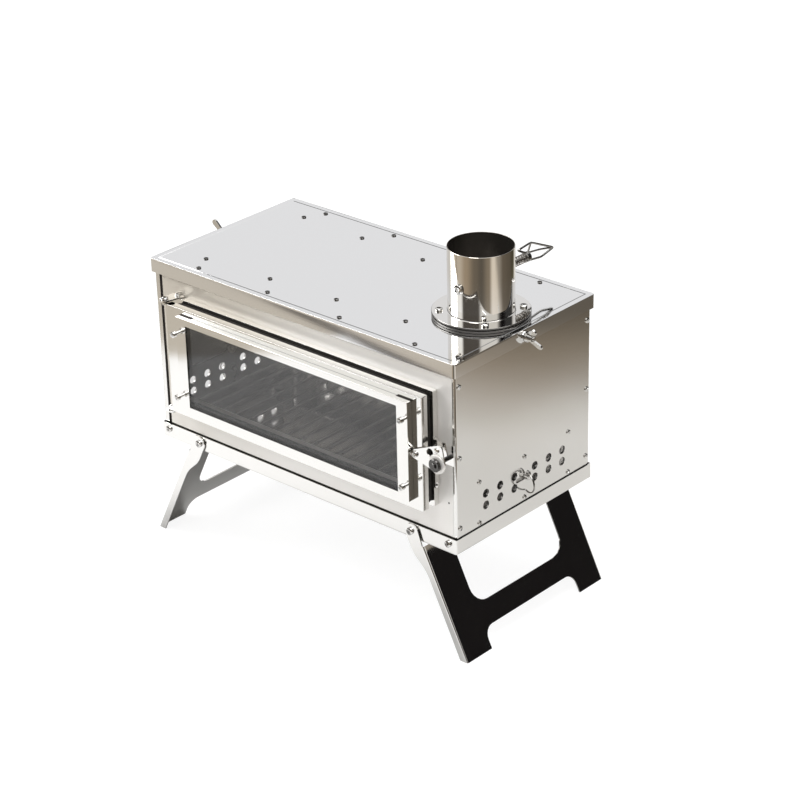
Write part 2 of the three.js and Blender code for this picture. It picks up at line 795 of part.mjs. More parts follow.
function damperShaft() {
  const length = shaftHubAt + hubLength + 1 - shaftFront;
  const bar = rod(shaftRadius, length, [collarX, shaftFront, damperZ], 'back');
  const thread = rod(smallHole, damperScrewDepth + 3 * sheet, [collarX, shaftFront - 1, damperZ], 'back');
  const rivetRise = shaftRadius + fit + damperThickness + fit;
  const rivetTop = rivetRise + panHead.height * 0.65;
  const rivets = [-1, 1].map((end) => turned(
    [
      [0, 0],
      [smallShank, 0],
      [smallShank, rivetRise],
      [panHead.radius, rivetRise],
      [panHead.radius * 0.65, rivetTop],
      [0, rivetTop],
    ],
    [collarX, end * damperRivetSpot, damperZ],
    'up',
    rivetSides,
  ));
  return join(cut(bar, thread), ...rivets);
}

function damperPlate() {
  const z = damperZ + shaftRadius + fit;
  const plate = rod(collarBore - damperGap, damperThickness, [collarX, 0, z], 'up', 28);
  const holes = [-1, 1].map((end) => rod(
    smallHole,
    damperThickness + 2 * sheet,
    [collarX, end * damperRivetSpot, z - sheet],
    'up',
    rivetSides,
  ));
  return cut(plate, ...holes);
}

function damperScrew() {
  return screw(
    [collarX, -collarRadius - fit, damperZ],
    'front',
    { head: boltHead, shank: smallShank, depth: damperScrewDepth },
  );
}

function wireBetween([y0, z0], [y1, z1]) {
  const length = Math.hypot(y1 - y0, z1 - z0);
  const geometry = new THREE.CylinderGeometry(handleWire, handleWire, length, 6);
  const run = new THREE.Vector3(0, y1 - y0, z1 - z0).normalize();
  geometry.applyQuaternion(new THREE.Quaternion().setFromUnitVectors(unitY, run));
  geometry.translate(collarX, (y0 + y1) / 2, damperZ + (z0 + z1) / 2);
  return solidFrom(geometry);
}

function wireBend([y, z]) {
  const geometry = new THREE.IcosahedronGeometry(handleWire * 1.1, 0);
  geometry.translate(collarX, y, damperZ + z);
  return solidFrom(geometry);
}

// The cool-touch handle is bent wire in the upright plane through the shaft.
function damperHandle() {
  const past = ([y, z]) => [shaftHubAt + y, z];
  const root = past([hubLength / 2, hubRadius - handleWire]);
  const low = past([hubLength / 2, -hubRadius + handleWire]);
  const bendPlaces = [handleLowBend, handleTip, handleTopBend, handleRearEnd].map(past);
  const [lowBend, tip, topBend, rearEnd] = bendPlaces;
  const loop = [low, lowBend, tip, topBend, rearEnd, root, tip];
  const wires = loop.slice(1).map((point, i) => wireBetween(loop[i], point));
  const strut = wireBetween(topBend, past(handleFoot));
  const bends = bendPlaces.map(wireBend);
  const hub = rod(hubRadius, hubLength, [collarX, shaftHubAt, damperZ], 'back', 12);
  const bore = rod(shaftRadius + fit, 2 * hubLength, [collarX, shaftHubAt - hubLength / 2, damperZ], 'back');
  return cut(join(hub, ...wires, strut, ...bends), bore);
}

function damperSpring() {
  const from = collarRadius + fit;
  const to = shaftHubAt - fit;
  const lead = 2 * springWire;
  const stepsPerTurn = 8;
  const steps = springTurns * stepsPerTurn;
  const points = [];
  points.push(new THREE.Vector3(collarX, from, damperZ - springRadius));
  for (let i = 0; i <= steps; i += 1) {
    const angle = (i * 2 * Math.PI) / stepsPerTurn;
    points.push(new THREE.Vector3(
      collarX - springRadius * Math.sin(angle),
      from + lead + ((to - from - 2 * lead) * i) / steps,
      damperZ - springRadius * Math.cos(angle),
    ));
  }
  points.push(new THREE.Vector3(collarX, to, damperZ - springRadius));
  const gap = leastGap(points, stepsPerTurn / 2, 2 * springWire);
  console.log(`damper spring: least gap between its turns ${gap.toFixed(2)} mm`);
  return tubeThrough(points, springWire, 5);
}

// Least clear distance between stretches of a tube that lie apart along it.
function leastGap(points, apart, diameter) {
  let least = Infinity;
  for (let i = 0; i < points.length; i += 1) {
    for (let j = i + apart; j < points.length; j += 1) {
      least = Math.min(least, points[i].distanceTo(points[j]) - diameter);
    }
  }
  return least;
}

// One closed tube through the points, its section carried along without twist.
function tubeThrough(points, radius, around) {
  const positions = [];
  const index = [];
  const runs = points.map((point, i) => {
    const before = points[Math.max(i - 1, 0)];
    const after = points[Math.min(i + 1, points.length - 1)];
    return after.clone().sub(before).normalize();
  });
  let across = new THREE.Vector3(1, 0, 0);
  points.forEach((point, i) => {
    across = across.clone().addScaledVector(runs[i], -across.dot(runs[i])).normalize();
    const third = runs[i].clone().cross(across);
    for (let k = 0; k < around; k += 1) {
      const angle = (k * 2 * Math.PI) / around;
      const spot = point.clone().addScaledVector(across, radius * Math.cos(angle));
      spot.addScaledVector(third, radius * Math.sin(angle));
      positions.push(...spot.toArray());
    }
  });
  for (let i = 0; i < points.length - 1; i += 1) {
    for (let k = 0; k < around; k += 1) {
      const a = i * around + k;
      const b = i * around + ((k + 1) % around);
      index.push(a, b, b + around, a, b + around, a + around);
    }
  }
  const last = (points.length - 1) * around;
  for (let k = 1; k < around - 1; k += 1) {
    index.push(0, k + 1, k);
    index.push(last, last + k, last + k + 1);
  }
  const geometry = new THREE.BufferGeometry();
  geometry.setAttribute('position', new THREE.Float32BufferAttribute(positions, 3));
  geometry.setIndex(index);
  return solidFrom(geometry);
}

// ---------------------------------------------------------------- door
function doorFrame() {
  const pan = block(doorX, [doorFace, doorBack], doorZ);
  const ears = [[doorZ[0], doorZ[0] + sheet], [doorZ[1] - sheet, doorZ[1]]].map((z) => prism(
    wrapCircles([[-hingePivotX, hingeY, earRadius], [doorX[0] + earRadius, hingeY, earRadius]]),
    'z',
    ...z,
  ));
  const hollow = block(
    [doorX[0] + sheet, doorX[1] - sheet],
    [doorFace + sheet, doorBack + sheet],
    [doorZ[0] + sheet, doorZ[1] - sheet],
  );
  const window = block(
    [glassWindowX[0] - doorWindowMargin, glassWindowX[1] + doorWindowMargin],
    [doorFace - sheet, doorBack],
    [glassWindowZ[0] - doorWindowMarginZ, glassWindowZ[1] + doorWindowMarginZ],
  );
  const pinHole = rod(
    hingePinRadius + fit,
    doorZ[1] - doorZ[0] + 2 * sheet,
    [-hingePivotX, hingeY, doorZ[0] - sheet],
    'up',
  );
  const screwHoles = [...retainerScrewSpots, [latchX, latchZ]].map(([x, z]) => rod(
    boltHole,
    3 * sheet,
    [x, doorFace + 2 * sheet, z],
    'front',
    rivetSides,
  ));
  return cut(cut(pan, hollow).add(ears[0]).add(ears[1]), window, pinHole, ...screwHoles);
}

function glassRetainer() {
  const body = block(retainerX, [retainerFace, retainerBack], retainerZ);
  const hollow = block(
    [retainerX[0] + sheet, retainerX[1] - sheet],
    [retainerFace + sheet, retainerBack + sheet],
    [retainerZ[0] + sheet, retainerZ[1] - sheet],
  );
  const window = block(glassWindowX, [retainerFace - sheet, retainerBack], glassWindowZ);
  const holes = retainerScrewSpots.map(([x, z]) => rod(
    boltHole,
    3 * sheet,
    [x, retainerFace + 2 * sheet, z],
    'front',
    rivetSides,
  ));
  return cut(body, hollow, window, ...holes);
}

function doorGlass() {
  return block(
    [glassWindowX[0] - glassMargin, glassWindowX[1] + glassMargin],
    [glassFront, glassFront + glassThickness],
    [glassWindowZ[0] - glassMarginZ, glassWindowZ[1] + glassMarginZ],
  );
}

function doorSeal() {
  const outer = [
    [doorX[0] + sealInset, doorX[1] - sealInset],
    [doorZ[0] + sealInset, doorZ[1] - sealInset],
  ];
  const inner = outer.map(([low, high]) => [low + sealWidth, high - sealWidth]);
  const ring = rectangle(...outer, sealCorner);
  ring.holes.push(rectangle(...inner));
  return prism(ring, 'y', sealBack - sealDepth, sealBack, 2);
}

function retainerScrew([x, z]) {
  const seat = retainerFace - retainerScrewProud + retainerScrewHead.height;
  const nut = nutFrom(doorFace + sheet + fit - seat);
  const depth = nut.to + boltEnd;
  return screw([x, seat, z], 'front', { head: retainerScrewHead, shank: boltShank, depth, nuts: [nut] });
}

// ---------------------------------------------------------------- hinges
function hingePlate({ plateZ, way, seatZ }) {
  const cornerRadius = hingePlateEnd / 5;
  const backY = surroundBack - cornerRadius;
  const leftX = -hingePivotX - hingePlateEnd + 2 * cornerRadius;
  const outline = wrapCircles([
    [leftX, backY, cornerRadius],
    [leftX + hingePlateWidth - 2 * cornerRadius, backY, cornerRadius],
    [-hingePivotX, hingeY, hingePlateEnd],
  ]);
  const plate = prism(outline, 'z', plateZ, plateZ + plateWall);
  const pinHole = rod(
    hingePinRadius + fit,
    plateWall + 2 * sheet,
    [-hingePivotX, hingeY, plateZ - sheet],
    'up',
  );
  const outside = way === 'up' ? plateZ + plateWall : plateZ;
  const from = Math.abs(outside - seatZ) + sheet + fit;
  const nut = { radius: smallNut.radius, from, to: from + smallNut.height };
  const fixing = screw(
    [...hingeScrewSpot, outside + (way === 'up' ? -sink : sink)],
    way,
    { head: hingeScrewHead, shank: smallShank, depth: nut.to, nuts: [nut] },
  );
  return cut(plate, pinHole).add(fixing);
}

// The pin carries a washer between the hinge plate and the door's ear, and a nut.
function hingePin({ plateZ, way }) {
  const outside = way === 'up' ? plateZ + plateWall : plateZ;
  const earOuter = way === 'up' ? doorZ[1] : doorZ[0];
  const toEar = Math.abs(outside - earOuter) + fit;
  const nuts = [nutFrom(toEar + sheet + fit)];
  const washerRoom = toEar - fit - plateWall - 2 * fit;
  if (washerRoom > fit) {
    const from = fit + plateWall + fit;
    nuts.push({ radius: hingeWasherRadius, from, to: from + washerRoom });
  }
  const spot = [-hingePivotX, hingeY, outside + (way === 'up' ? fit : -fit)];
  const depth = nuts[0].to + boltEnd;
  return screw(spot, way, { head: hingePinHead, shank: hingePinRadius, depth, nuts });
}

// ---------------------------------------------------------------- latch
function latchPlate() {
  const outline = wrapCircles([
    [latchX, latchZ, latchEnd],
    [latchX + latchNose[0], latchZ + latchNose[1], latchNoseRadius],
    [knobX, knobZ, latchLobe],
  ], 24);
  const plate = prism(outline, 'y', latchFace, latchBack);
  const holeLength = plateWall + 2 * sheet;
  const through = (radius, [dx, dz], segments) => rod(
    radius,
    holeLength,
    [latchX + dx, latchBack + sheet, latchZ + dz],
    'front',
    segments,
  );
  const noseScrew = screw(
    [latchX + latchScrewSpot[0], latchFace + sink, latchZ + latchScrewSpot[1]],
    'front',
    { head: panHead, shank: smallShank, depth: 2 * plateWall },
  );
  return cut(
    plate,
    through(boltHole, [0, 0], 10),
    through(latchHoleRadius, latchHole, 16),
    through(latchPinRadius + fit, knobReach, 10),
  ).add(noseScrew);
}

function latchKnob() {
  const neckRadius = knobRadius * 0.7;
  const neckTop = knobWasher + knobNeck;
  const stemRadius = knobRadius * 0.4;
  const stemTop = knobLength + knobStem;
  const pinEnd = surroundFace + plateWall - (latchFace - fit);
  return turned([
    [0, -pinEnd],
    [latchPinRadius, -pinEnd],
    [latchPinRadius, 0],
    [knobWasherRadius, 0],
    [knobWasherRadius, knobWasher],
    [neckRadius, knobWasher],
    [neckRadius, neckTop],
    [knobRadius, neckTop + knobChamfer],
    [knobRadius, knobLength - knobChamfer],
    [knobRadius - knobChamfer, knobLength],
    [stemRadius, knobLength],
    [stemRadius, stemTop - 2 * knobChamfer],
    [stemRadius - 1.5 * knobChamfer, stemTop],
    [0, stemTop],
  ], [knobX, latchFace - fit, knobZ], 'front', 20);
}

function latchScrew() {
  const toDoor = plateWall + 2 * fit;
  const washer = { radius: boltNut.radius, from: toDoor, to: toDoor + latchStandoff - 2 * fit };
  const nut = nutFrom(fit + plateWall + latchStandoff + sheet + fit);
  const spot = [latchX, latchFace - fit, latchZ];
  const depth = nut.to + boltEnd;
  return screw(spot, 'front', { head: latchScrewHead, shank: boltShank, depth, nuts: [nut, washer] });
}

// The catch runs up the side of the surround; its hook plate takes the latch pin.
function latchCatch() {
  const stripX = [catchInner, catchInner + plateWall];
  const stripY = [surroundFace - fit, surroundBack - fit];
  const stripZ = [latchZ - catchStripBottom, latchZ + catchStripTop];
  const middle = (stripY[0] + stripY[1]) / 2;
  const rounding = (stripY[1] - stripY[0]) / 2 - sink;
  const strip = prism(
    wrapCircles([
      [middle, stripZ[0] + rounding, rounding],
      [middle, stripZ[1] - rounding, rounding],
    ]),
    'x',
    ...stripX,
  );
  const hookLow = knobZ - hookDrop;
  const hookX = [catchInner, surroundRight + catchReach];
  const hookY = [surroundFace - fit - plateWall, surroundFace - fit];
  const hook = block(hookX, hookY, [hookLow, stripZ[1]]);
  const slotRadius = latchPinRadius + fit;
  const slot = prism(
    wrapCircles([
      [knobX, knobZ, slotRadius],
      [knobX - latchPinRadius * 0.8, stripZ[1] + catchScrewRise, slotRadius + hookMouth],
    ], 16),
    'y',
    hookY[0] - plateWall,
    hookY[1] + plateWall,
  );
  const fold = block(stripX, [hookY[0], middle], [hookLow, stripZ[1] - rounding]);
  const fixing = screw(
    [stripX[1] - sink, catchY, catchScrewZ],
    'right',
    { head: panHead, shank: smallShank, depth: plateWall + fit + sheet + smallNut.height },
  );
  return join(cut(join(strip, hook, fold), slot), fixing);
}

// ---------------------------------------------------------------- air sliders
function airSlider(side) {
  const way = side < 0 ? 'left' : 'right';
  const reach = [side * sliderInner, side * sliderOuter].sort((a, b) => a - b);
  const edgeGap = guideShank + fit;
  const outline = rectangle(
    [sliderInset - halfY, halfY - sliderInset],
    [baseZ + guideRows[0] + edgeGap, baseZ + guideRows[1] - edgeGap],
  );
  const plate = prism(outline, 'x', ...reach);
  const inside = side * (sliderInner - sheet);
  const vents = ventPitch.flatMap((y) => [-y, y]).flatMap((y) => ventRows.map(
    (row) => rod(ventRadius, 3 * sheet, [inside, y, baseZ + row], way, 10),
  ));
  const studHole = rod(studRadius + fit, 3 * sheet, [inside, 0, slotZ], way);
  return cut(plate, ...vents, studHole);
}

const ringEye = [halfX + studReach - eyeInset, slotZ + eyeRise];

// The stud ends in an upright lug whose eye takes the ring.
function sliderStud(side) {
  const way = side < 0 ? 'left' : 'right';
  const start = sliderInner - fit;
  const length = halfX + studReach - lugThickness / 2 - start;
  const shank = turned([
    [0, -studHead.height],
    [studHead.radius, -studHead.height],
    [studHead.radius, 0],
    [studRadius, 0],
    [studRadius, length],
    [0, length],
  ], [side * start, 0, slotZ], way);
  const lug = prism(
    wrapCircles([
      [side * ringEye[0], ringEye[1], lugRadius],
      [side * (halfX + fit + studRadius), slotZ, lugThickness],
      [side * (halfX + studReach - lugThickness / 2), slotZ, lugThickness],
    ]),
    'y',
    -lugThickness / 2,
    lugThickness / 2,
  );
  const eyeRadius = ringWire + 2 * fit;
  const eye = rod(eyeRadius, 3 * lugThickness, [side * ringEye[0], -1.5 * lugThickness, ringEye[1]], 'back');
  return cut(join(shank, lug), eye);
}

function splitRing(side) {
  const geometry = new THREE.TorusGeometry(ringRadius, ringWire, 6, 24);
  geometry.rotateX(Math.PI / 2);
  geometry.rotateZ(Math.PI / 2 - side * ringYaw);
  geometry.translate(side * ringEye[0], 0, ringEye[1] - ringRadius);
  return solidFrom(geometry);
}

// ---------------------------------------------------------------- grate
function logGrate() {
  const gaps = Math.floor((boxLength - 2 * grateInset) / grateRodPitch);
  const halfRun = (gaps * grateRodPitch) / 2;
  const rodHalf = halfY - grateInset;
  const railZ = baseZ + grateRise;
  const rodZ = railZ + grateRailRadius + grateRodRadius * 0.7;
  const footZ = baseZ + sheet + fit;
  const railHalf = halfRun + grateOverhang;
  const rails = [-1, 1].flatMap((end) => {
    const y = end * (halfY - grateRailInset);
    const rail = rod(grateRailRadius, 2 * railHalf, [-railHalf, y, railZ], 'right', rivetSides);
    const feet = [-1, 1].map((side) => rod(
      grateRailRadius,
      railZ - footZ,
      [side * (railHalf - grateRailRadius), y, footZ],
      'up',
    ));
    return [rail, ...feet];
  });
  const rods = evenly(-halfRun, halfRun, gaps + 1).map((x) => rod(
    grateRodRadius,
    2 * rodHalf,
    [x, -rodHalf, rodZ],
    'back',
    rivetSides,
  ));
  return join(...rails, ...rods);
}

// ---------------------------------------------------------------- legs
const flangeOuterY = trayFaceY + legWasherGap + plateWall;

// A leg about its pivot, upright: -z runs down the leg and +x is its outer side.
function leg() {
  const inner = legWebOffset - plateWall;
  const flangeOutline = new THREE.Shape();
  flangeOutline.moveTo(legWebOffset, 0);
  flangeOutline.absarc(0, 0, legEarRadius, 0, Math.PI);
  flangeOutline.lineTo(-legEarRadius, -legEarDepth);
  flangeOutline.lineTo(legWebOffset - legFlangeDepth, -legTaperDepth);
  flangeOutline.lineTo(legWebOffset - legFlangeDepth, -legLength - legFlangeDepth);
  flangeOutline.lineTo(legWebOffset, -legLength - legFlangeDepth);
  flangeOutline.closePath();
  const flanges = [-1, 1].map((end) => {
    const faces = [end * flangeOuterY, end * (flangeOuterY - plateWall)].sort((a, b) => a - b);
    return prism(flangeOutline, 'y', ...faces, 6);
  });
  const web = block(
    [inner, legWebOffset],
    [-flangeOuterY, flangeOuterY],
    [-legLength - legFlangeDepth, -legWebTop],
  );
  const openHalf = flangeOuterY - legPostWidth;
  const upper = rectangle(
    [-openHalf, openHalf],
    [-legBarTop, -legWebTop + 2 * legUpperFillet],
    legUpperFillet,
  );
  const notch = rectangle(
    [-openHalf, openHalf],
    [-legLength - 2 * legFlangeDepth - 2 * legNotchFillet, -legBarBottom],
    legNotchFillet,
  );
  const openings = [upper, notch].map(
    (outline) => prism(outline, 'x', inner - sheet, legWebOffset + sheet),
  );
  const pivotHoles = rod(
    legScrewHole,
    2 * (flangeOuterY + sheet),
    [0, -flangeOuterY - sheet, 0],
    'back',
  );
  const floor = new THREE.BoxGeometry(4 * legLength, 3 * flangeOuterY, legLength);
  floor.translate(0, 0, -legLength / 2 - pivotZ);
  floor.rotateY(legSplay);
  return cut(join(...flanges, web), ...openings, pivotHoles, solidFrom(floor));
}

function legScrew(end) {
  const from = plateWall + fit + legWasherGap + sheet + fit;
  const collar = { radius: legScrewCollar.radius, from, to: from + legScrewCollar.height };
  return screw(
    [0, end * (flangeOuterY + fit), 0],
    end < 0 ? 'front' : 'back',
    { head: boltHead, shank: legScrewShank, depth: collar.to, nuts: [collar] },
  );
}

function trayScrew([side, end]) {
  const nut = nutFrom(trayOverhangY + 3 * sheet + 3 * fit);
  return screw(
    [side * trayScrewX, end * (trayFaceY + fit), trayScrewZ],
    end < 0 ? 'front' : 'back',
    { head: trayScrewHead, shank: boltShank, depth: nut.to + boltEnd, nuts: [nut] },
  );
}

// ---------------------------------------------------------------- wing nuts
function wingBolt(side) {
  const start = innerFaceX - fit - wingBoltHead.height;
  const length = halfX + wingBoltLength - start;
  return turned([
    [0, 0],
    [wingBoltHead.radius, 0],
    [wingBoltHead.radius, wingBoltHead.height],
    [wingBoltRadius, wingBoltHead.height],
    [wingBoltRadius, length],
    [0, length],
  ], [side * start, 0, wingBoltZ], side < 0 ? 'left' : 'right');
}

// A wing nut about its own axis, +x pointing away from the stove.
function wingNut() {
  const hub = turned([
    [0, 0],
    [wingHub.foot, 0],
    [wingHub.foot, wingHub.flange],
    [wingHub.top, wingHub.height],
    [0, wingHub.height],
  ], [0, 0, 0], 'right', 12);
  const wings = [-1, 1].map((end) => prism(
    wrapCircles([
      [wingRoot.out, end * wingRoot.up, wingRoot.radius],
      [wingReach - wingTip, end * (wingSpan - wingTip), wingTip],
    ]),
    'y',
    -wingThickness / 2,
    wingThickness / 2,
  ));
  const bore = rod(wingBoltHole, wingReach + 2 * sheet, [-sheet, 0, 0], 'right');
  return cut(join(hub, ...wings), bore);
}

// ---------------------------------------------------------------- assembly
addPiece('base_tray', baseTray(), polishedSteel);
addPiece('left_side_panel', sidePanel(-1, sideFlangeLeft), polishedSteel);
addPiece('right_side_panel', sidePanel(1, sideFlangeRight), polishedSteel);
addPiece('front_panel', frontPanel(), polishedSteel);
addPiece('back_panel', backPanel(), polishedSteel);
addPiece('door_surround', doorSurround(), polishedSteel);
addPiece('lid', lid(), brushedSteel);
addPiece('front_lid_rail', lidRail(-1), brushedSteel);
addPiece('back_lid_rail', lidRail(1), brushedSteel);
addPiece('smoke_baffle', smokeBaffle(), brushedSteel);
addPiece('collar_base_ring', ringPlate(baseRingZ, baseRingThickness, collarFlangeRadius), polishedSteel);
addPiece('collar_gasket', ringPlate(gasketZ, gasketThickness, collarFlangeRadius - 1), gasketSheet);
addPiece('flue_collar', flueCollar(), heatTintedSteel);
collarScrews.forEach(([x, y], i) => {
  addPiece(`flange_screw_${i + 1}`, flangeScrew(x, y), screwSteel);
});
addPiece('damper_plate', damperPlate(), darkSteel);
addPiece('damper_shaft', damperShaft(), screwSteel);
addPiece('damper_screw', damperScrew(), screwSteel);
addPiece('damper_handle', damperHandle(), screwSteel);
addPiece('damper_spring', damperSpring(), springSteel);
addPiece('door_frame', doorFrame(), polishedSteel);
addPiece('door_seal', doorSeal(), ropeSeal);
addPiece('door_glass', doorGlass(), ceramicGlass);
addPiece('glass_retainer', glassRetainer(), polishedSteel);
retainerScrewSpots.forEach((spot, i) => {
  addPiece(`retainer_screw_${i + 1}`, retainerScrew(spot), screwSteel);
});
for (const place of hingePlates) {
  addPiece(`${place.name}_hinge_plate`, hingePlate(place), polishedSteel);
  addPiece(`${place.name}_hinge_pin`, hingePin(place), screwSteel);
}
addPiece('latch_plate', latchPlate(), polishedSteel);
addPiece('latch_knob', latchKnob(), darkSteel);
addPiece('latch_screw', latchScrew(), screwSteel);
addPiece('latch_catch', latchCatch(), polishedSteel);
for (const [name, side] of Object.entries(sides)) {
  addPiece(`${name}_air_slider`, airSlider(side), brushedSteel);
  addPiece(`${name}_slider_stud`, sliderStud(side), screwSteel);
  addPiece(`${name}_split_ring`, splitRing(side), darkSteel);
}
addPiece('log_grate', logGrate(), grateSteel);
for (const [name, side] of Object.entries(sides)) {
  const swing = new THREE.Group();
  swing.position.set(side * legPivotX, 0, pivotZ);
  swing.rotation.z = side < 0 ? Math.PI : 0;
  group.add(swing);
  addPiece(`${name}_leg`, leg(), polishedSteel, swing).rotation.y = -legSplay;
  addPiece(`${name}_front_leg_screw`, legScrew(-side), screwSteel, swing);
  addPiece(`${name}_back_leg_screw`, legScrew(side), screwSteel, swing);
}
for (const [side, end] of traySpots) {
  const name = `${side < 0 ? 'left' : 'right'}_${end < 0 ? 'front' : 'back'}_tray_screw`;
  addPiece(name, trayScrew([side, end]), screwSteel);
}
for (const [name, side] of Object.entries(sides)) {
  addPiece(`${name}_wing_bolt`, wingBolt(side), screwSteel);
  const turn = new THREE.Group();
  turn.position.set(side * (halfX + lidOverhangX + fit), 0, wingBoltZ);
  turn.rotation.z = side < 0 ? Math.PI : 0;
  group.add(turn);
  addPiece(`${name}_wing_nut`, wingNut(), screwSteel, turn).rotation.x = side > 0 ? wingTurn : 0;
}

// The origin is on the floor under the middle of the whole box.
group.updateMatrixWorld(true);
const span = new THREE.Box3().setFromObject(group, true);
const middle = span.getCenter(new THREE.Vector3());
group.position.set(-middle.x, -middle.y, -span.min.z);

export default group;
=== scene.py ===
"""A folding wood stove for a tent, dressed in sheet steel, glass and small fasteners.

Lengths are in millimetres and every piece is built where it sits on the stove:
x to the right, y from the middle of the firebox to its back, z up from the floor.
"""
import json
import math

import bmesh
import bpy
from mathutils import Matrix, Vector
from mathutils.geometry import convex_hull_2d

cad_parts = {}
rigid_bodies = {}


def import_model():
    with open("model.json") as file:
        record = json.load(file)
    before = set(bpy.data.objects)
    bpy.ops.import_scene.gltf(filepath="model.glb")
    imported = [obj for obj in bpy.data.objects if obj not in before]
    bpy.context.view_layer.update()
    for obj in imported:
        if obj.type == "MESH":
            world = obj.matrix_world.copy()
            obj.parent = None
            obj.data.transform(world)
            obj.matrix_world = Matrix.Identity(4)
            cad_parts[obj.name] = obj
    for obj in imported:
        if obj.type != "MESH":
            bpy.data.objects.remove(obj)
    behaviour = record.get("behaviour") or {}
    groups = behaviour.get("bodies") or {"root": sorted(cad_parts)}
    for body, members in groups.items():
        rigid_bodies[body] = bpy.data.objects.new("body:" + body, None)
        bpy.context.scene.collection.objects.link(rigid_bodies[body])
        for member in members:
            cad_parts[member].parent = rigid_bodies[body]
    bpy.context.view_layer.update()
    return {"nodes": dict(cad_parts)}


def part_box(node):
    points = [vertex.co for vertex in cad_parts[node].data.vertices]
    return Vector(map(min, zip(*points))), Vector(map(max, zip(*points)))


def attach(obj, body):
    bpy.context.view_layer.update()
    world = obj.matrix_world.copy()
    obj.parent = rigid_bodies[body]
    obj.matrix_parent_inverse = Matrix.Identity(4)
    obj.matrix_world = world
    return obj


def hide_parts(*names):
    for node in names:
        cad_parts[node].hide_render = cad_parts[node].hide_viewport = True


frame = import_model()
nodes = frame["nodes"]

MM = 0.001
tray_low, tray_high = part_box("base_tray")
MIDDLE_Y = (tray_low.y + tray_high.y) / 2 / MM  # the firebox's middle in the frame

# ------------------------------------------------------------------ sizes
SHEET = 1.0
PLATE = 1.5
FIT = 0.3
FOLD, CORNER = 1.9, 2.6  # bends of the lid, tray and side panels
CRISP_FOLD, CRISP_CORNER = 0.7, 0.8  # bends of the door's sheets
FLAT_MARGIN = 0.3  # a sheet is flat from this far inside its bends
NUT = (3.6, 2.4)  # radius and height
HALF_X, HALF_Y = 222.5, 112.5
BASE_Z = tray_low.z / MM
LID_TOP = BASE_Z + 222.3
LID_HALF = (225.0, 116.6)
LID_RIM = 16.1
LID_GROOVE = (6.6, 1.3, 0.42)  # inset, width, depth
TRAY_HALF = (224.1, 115.6)
TRAY_RIM = 17.0
PANEL_Z = (BASE_Z + 1.3, LID_TOP - 1.3)

SURROUND_X = (-190.0, 198.5)
SURROUND_Z = (BASE_Z + 51.8, LID_TOP - 36.2)
SURROUND_FACE = -120.0
SURROUND_DEPTH = 7.2
WINDOW_BORDER = 12.0
DOOR_X = (-180.0, 198.5)
DOOR_Z = (SURROUND_Z[0] + 1.0, SURROUND_Z[1] - 0.7)
DOOR_FACE = -138.0
DOOR_DEPTH = 9.0
RETAINER_X = (DOOR_X[0] + 22.0, DOOR_X[1] - 13.0)
RETAINER_Z = (DOOR_Z[0] + 9.9, DOOR_Z[1] - 6.4)
RETAINER_FACE = -145.5
RETAINER_DEPTH = 7.2
GLASS_X = (RETAINER_X[0] + 15.2, RETAINER_X[1] - 15.2)
GLASS_Z = (RETAINER_Z[0] + 8.0, RETAINER_Z[1] - 8.0)
HINGE_X, HINGE_Y = -186.0, -133.4
LATCH = (DOOR_X[1] - 7.3, (DOOR_Z[0] + DOOR_Z[1]) / 2 + 0.8)
LATCH_FACE = -141.0
KNOB = (LATCH[0] + 30.3, LATCH[1] - 1.8)
SLOT_Z = BASE_Z + 46.0
VENT_RADIUS = 5.0
SLOT_RADIUS = BOLT_HOLE = 2.8
COLLAR_X = 163.5
COLLAR_RADIUS = 36.2
COLLAR_WALL = 0.8
FLUE_HOLE = 36.8
RING_TOP = LID_TOP + 5.8
FLANGE_RADIUS, FLANGE_SCREWS_AT = 53.2, 45.0
DAMPER_Z = LID_TOP + 40.0
LEG_SPOT = (161.5, 135.2)
LEG_SPLAY = math.radians(26.3)
LEG_HALF_Y = 118.0
LEG_WEB_OUT, LEG_FOLD = 10.5, 2.2
WING_Z = LID_TOP - 9.0
WING_TURN = math.radians(26.0)
SCREW_HOLE = 2.3
SIDES = (("right", 1), ("left", -1))

# ------------------------------------------------------------------ camera
EYE = Vector((1.72884, -1.835595, 1.43549))
LOOK = Vector((-0.60449, 0.66420, -0.43982)).normalized()
LENS = 112.6
ROLL = math.radians(-1.395)


def make_camera():
    data = bpy.data.cameras.new("photo_camera")
    data.lens = LENS
    data.sensor_width = 36.0
    data.clip_start = 0.05
    camera = bpy.data.objects.new("photo_camera", data)
    bpy.context.scene.collection.objects.link(camera)
    level = LOOK.cross(Vector((0, 0, 1))).normalized()
    right = Matrix.Rotation(-ROLL, 3, LOOK) @ level
    up = right.cross(LOOK)
    turn = Matrix((right, up, -LOOK)).transposed()
    camera.matrix_world = Matrix.Translation(EYE) @ turn.to_4x4()
    bpy.context.scene.camera = camera


make_camera()
bpy.context.scene.view_settings.view_transform = "Standard"


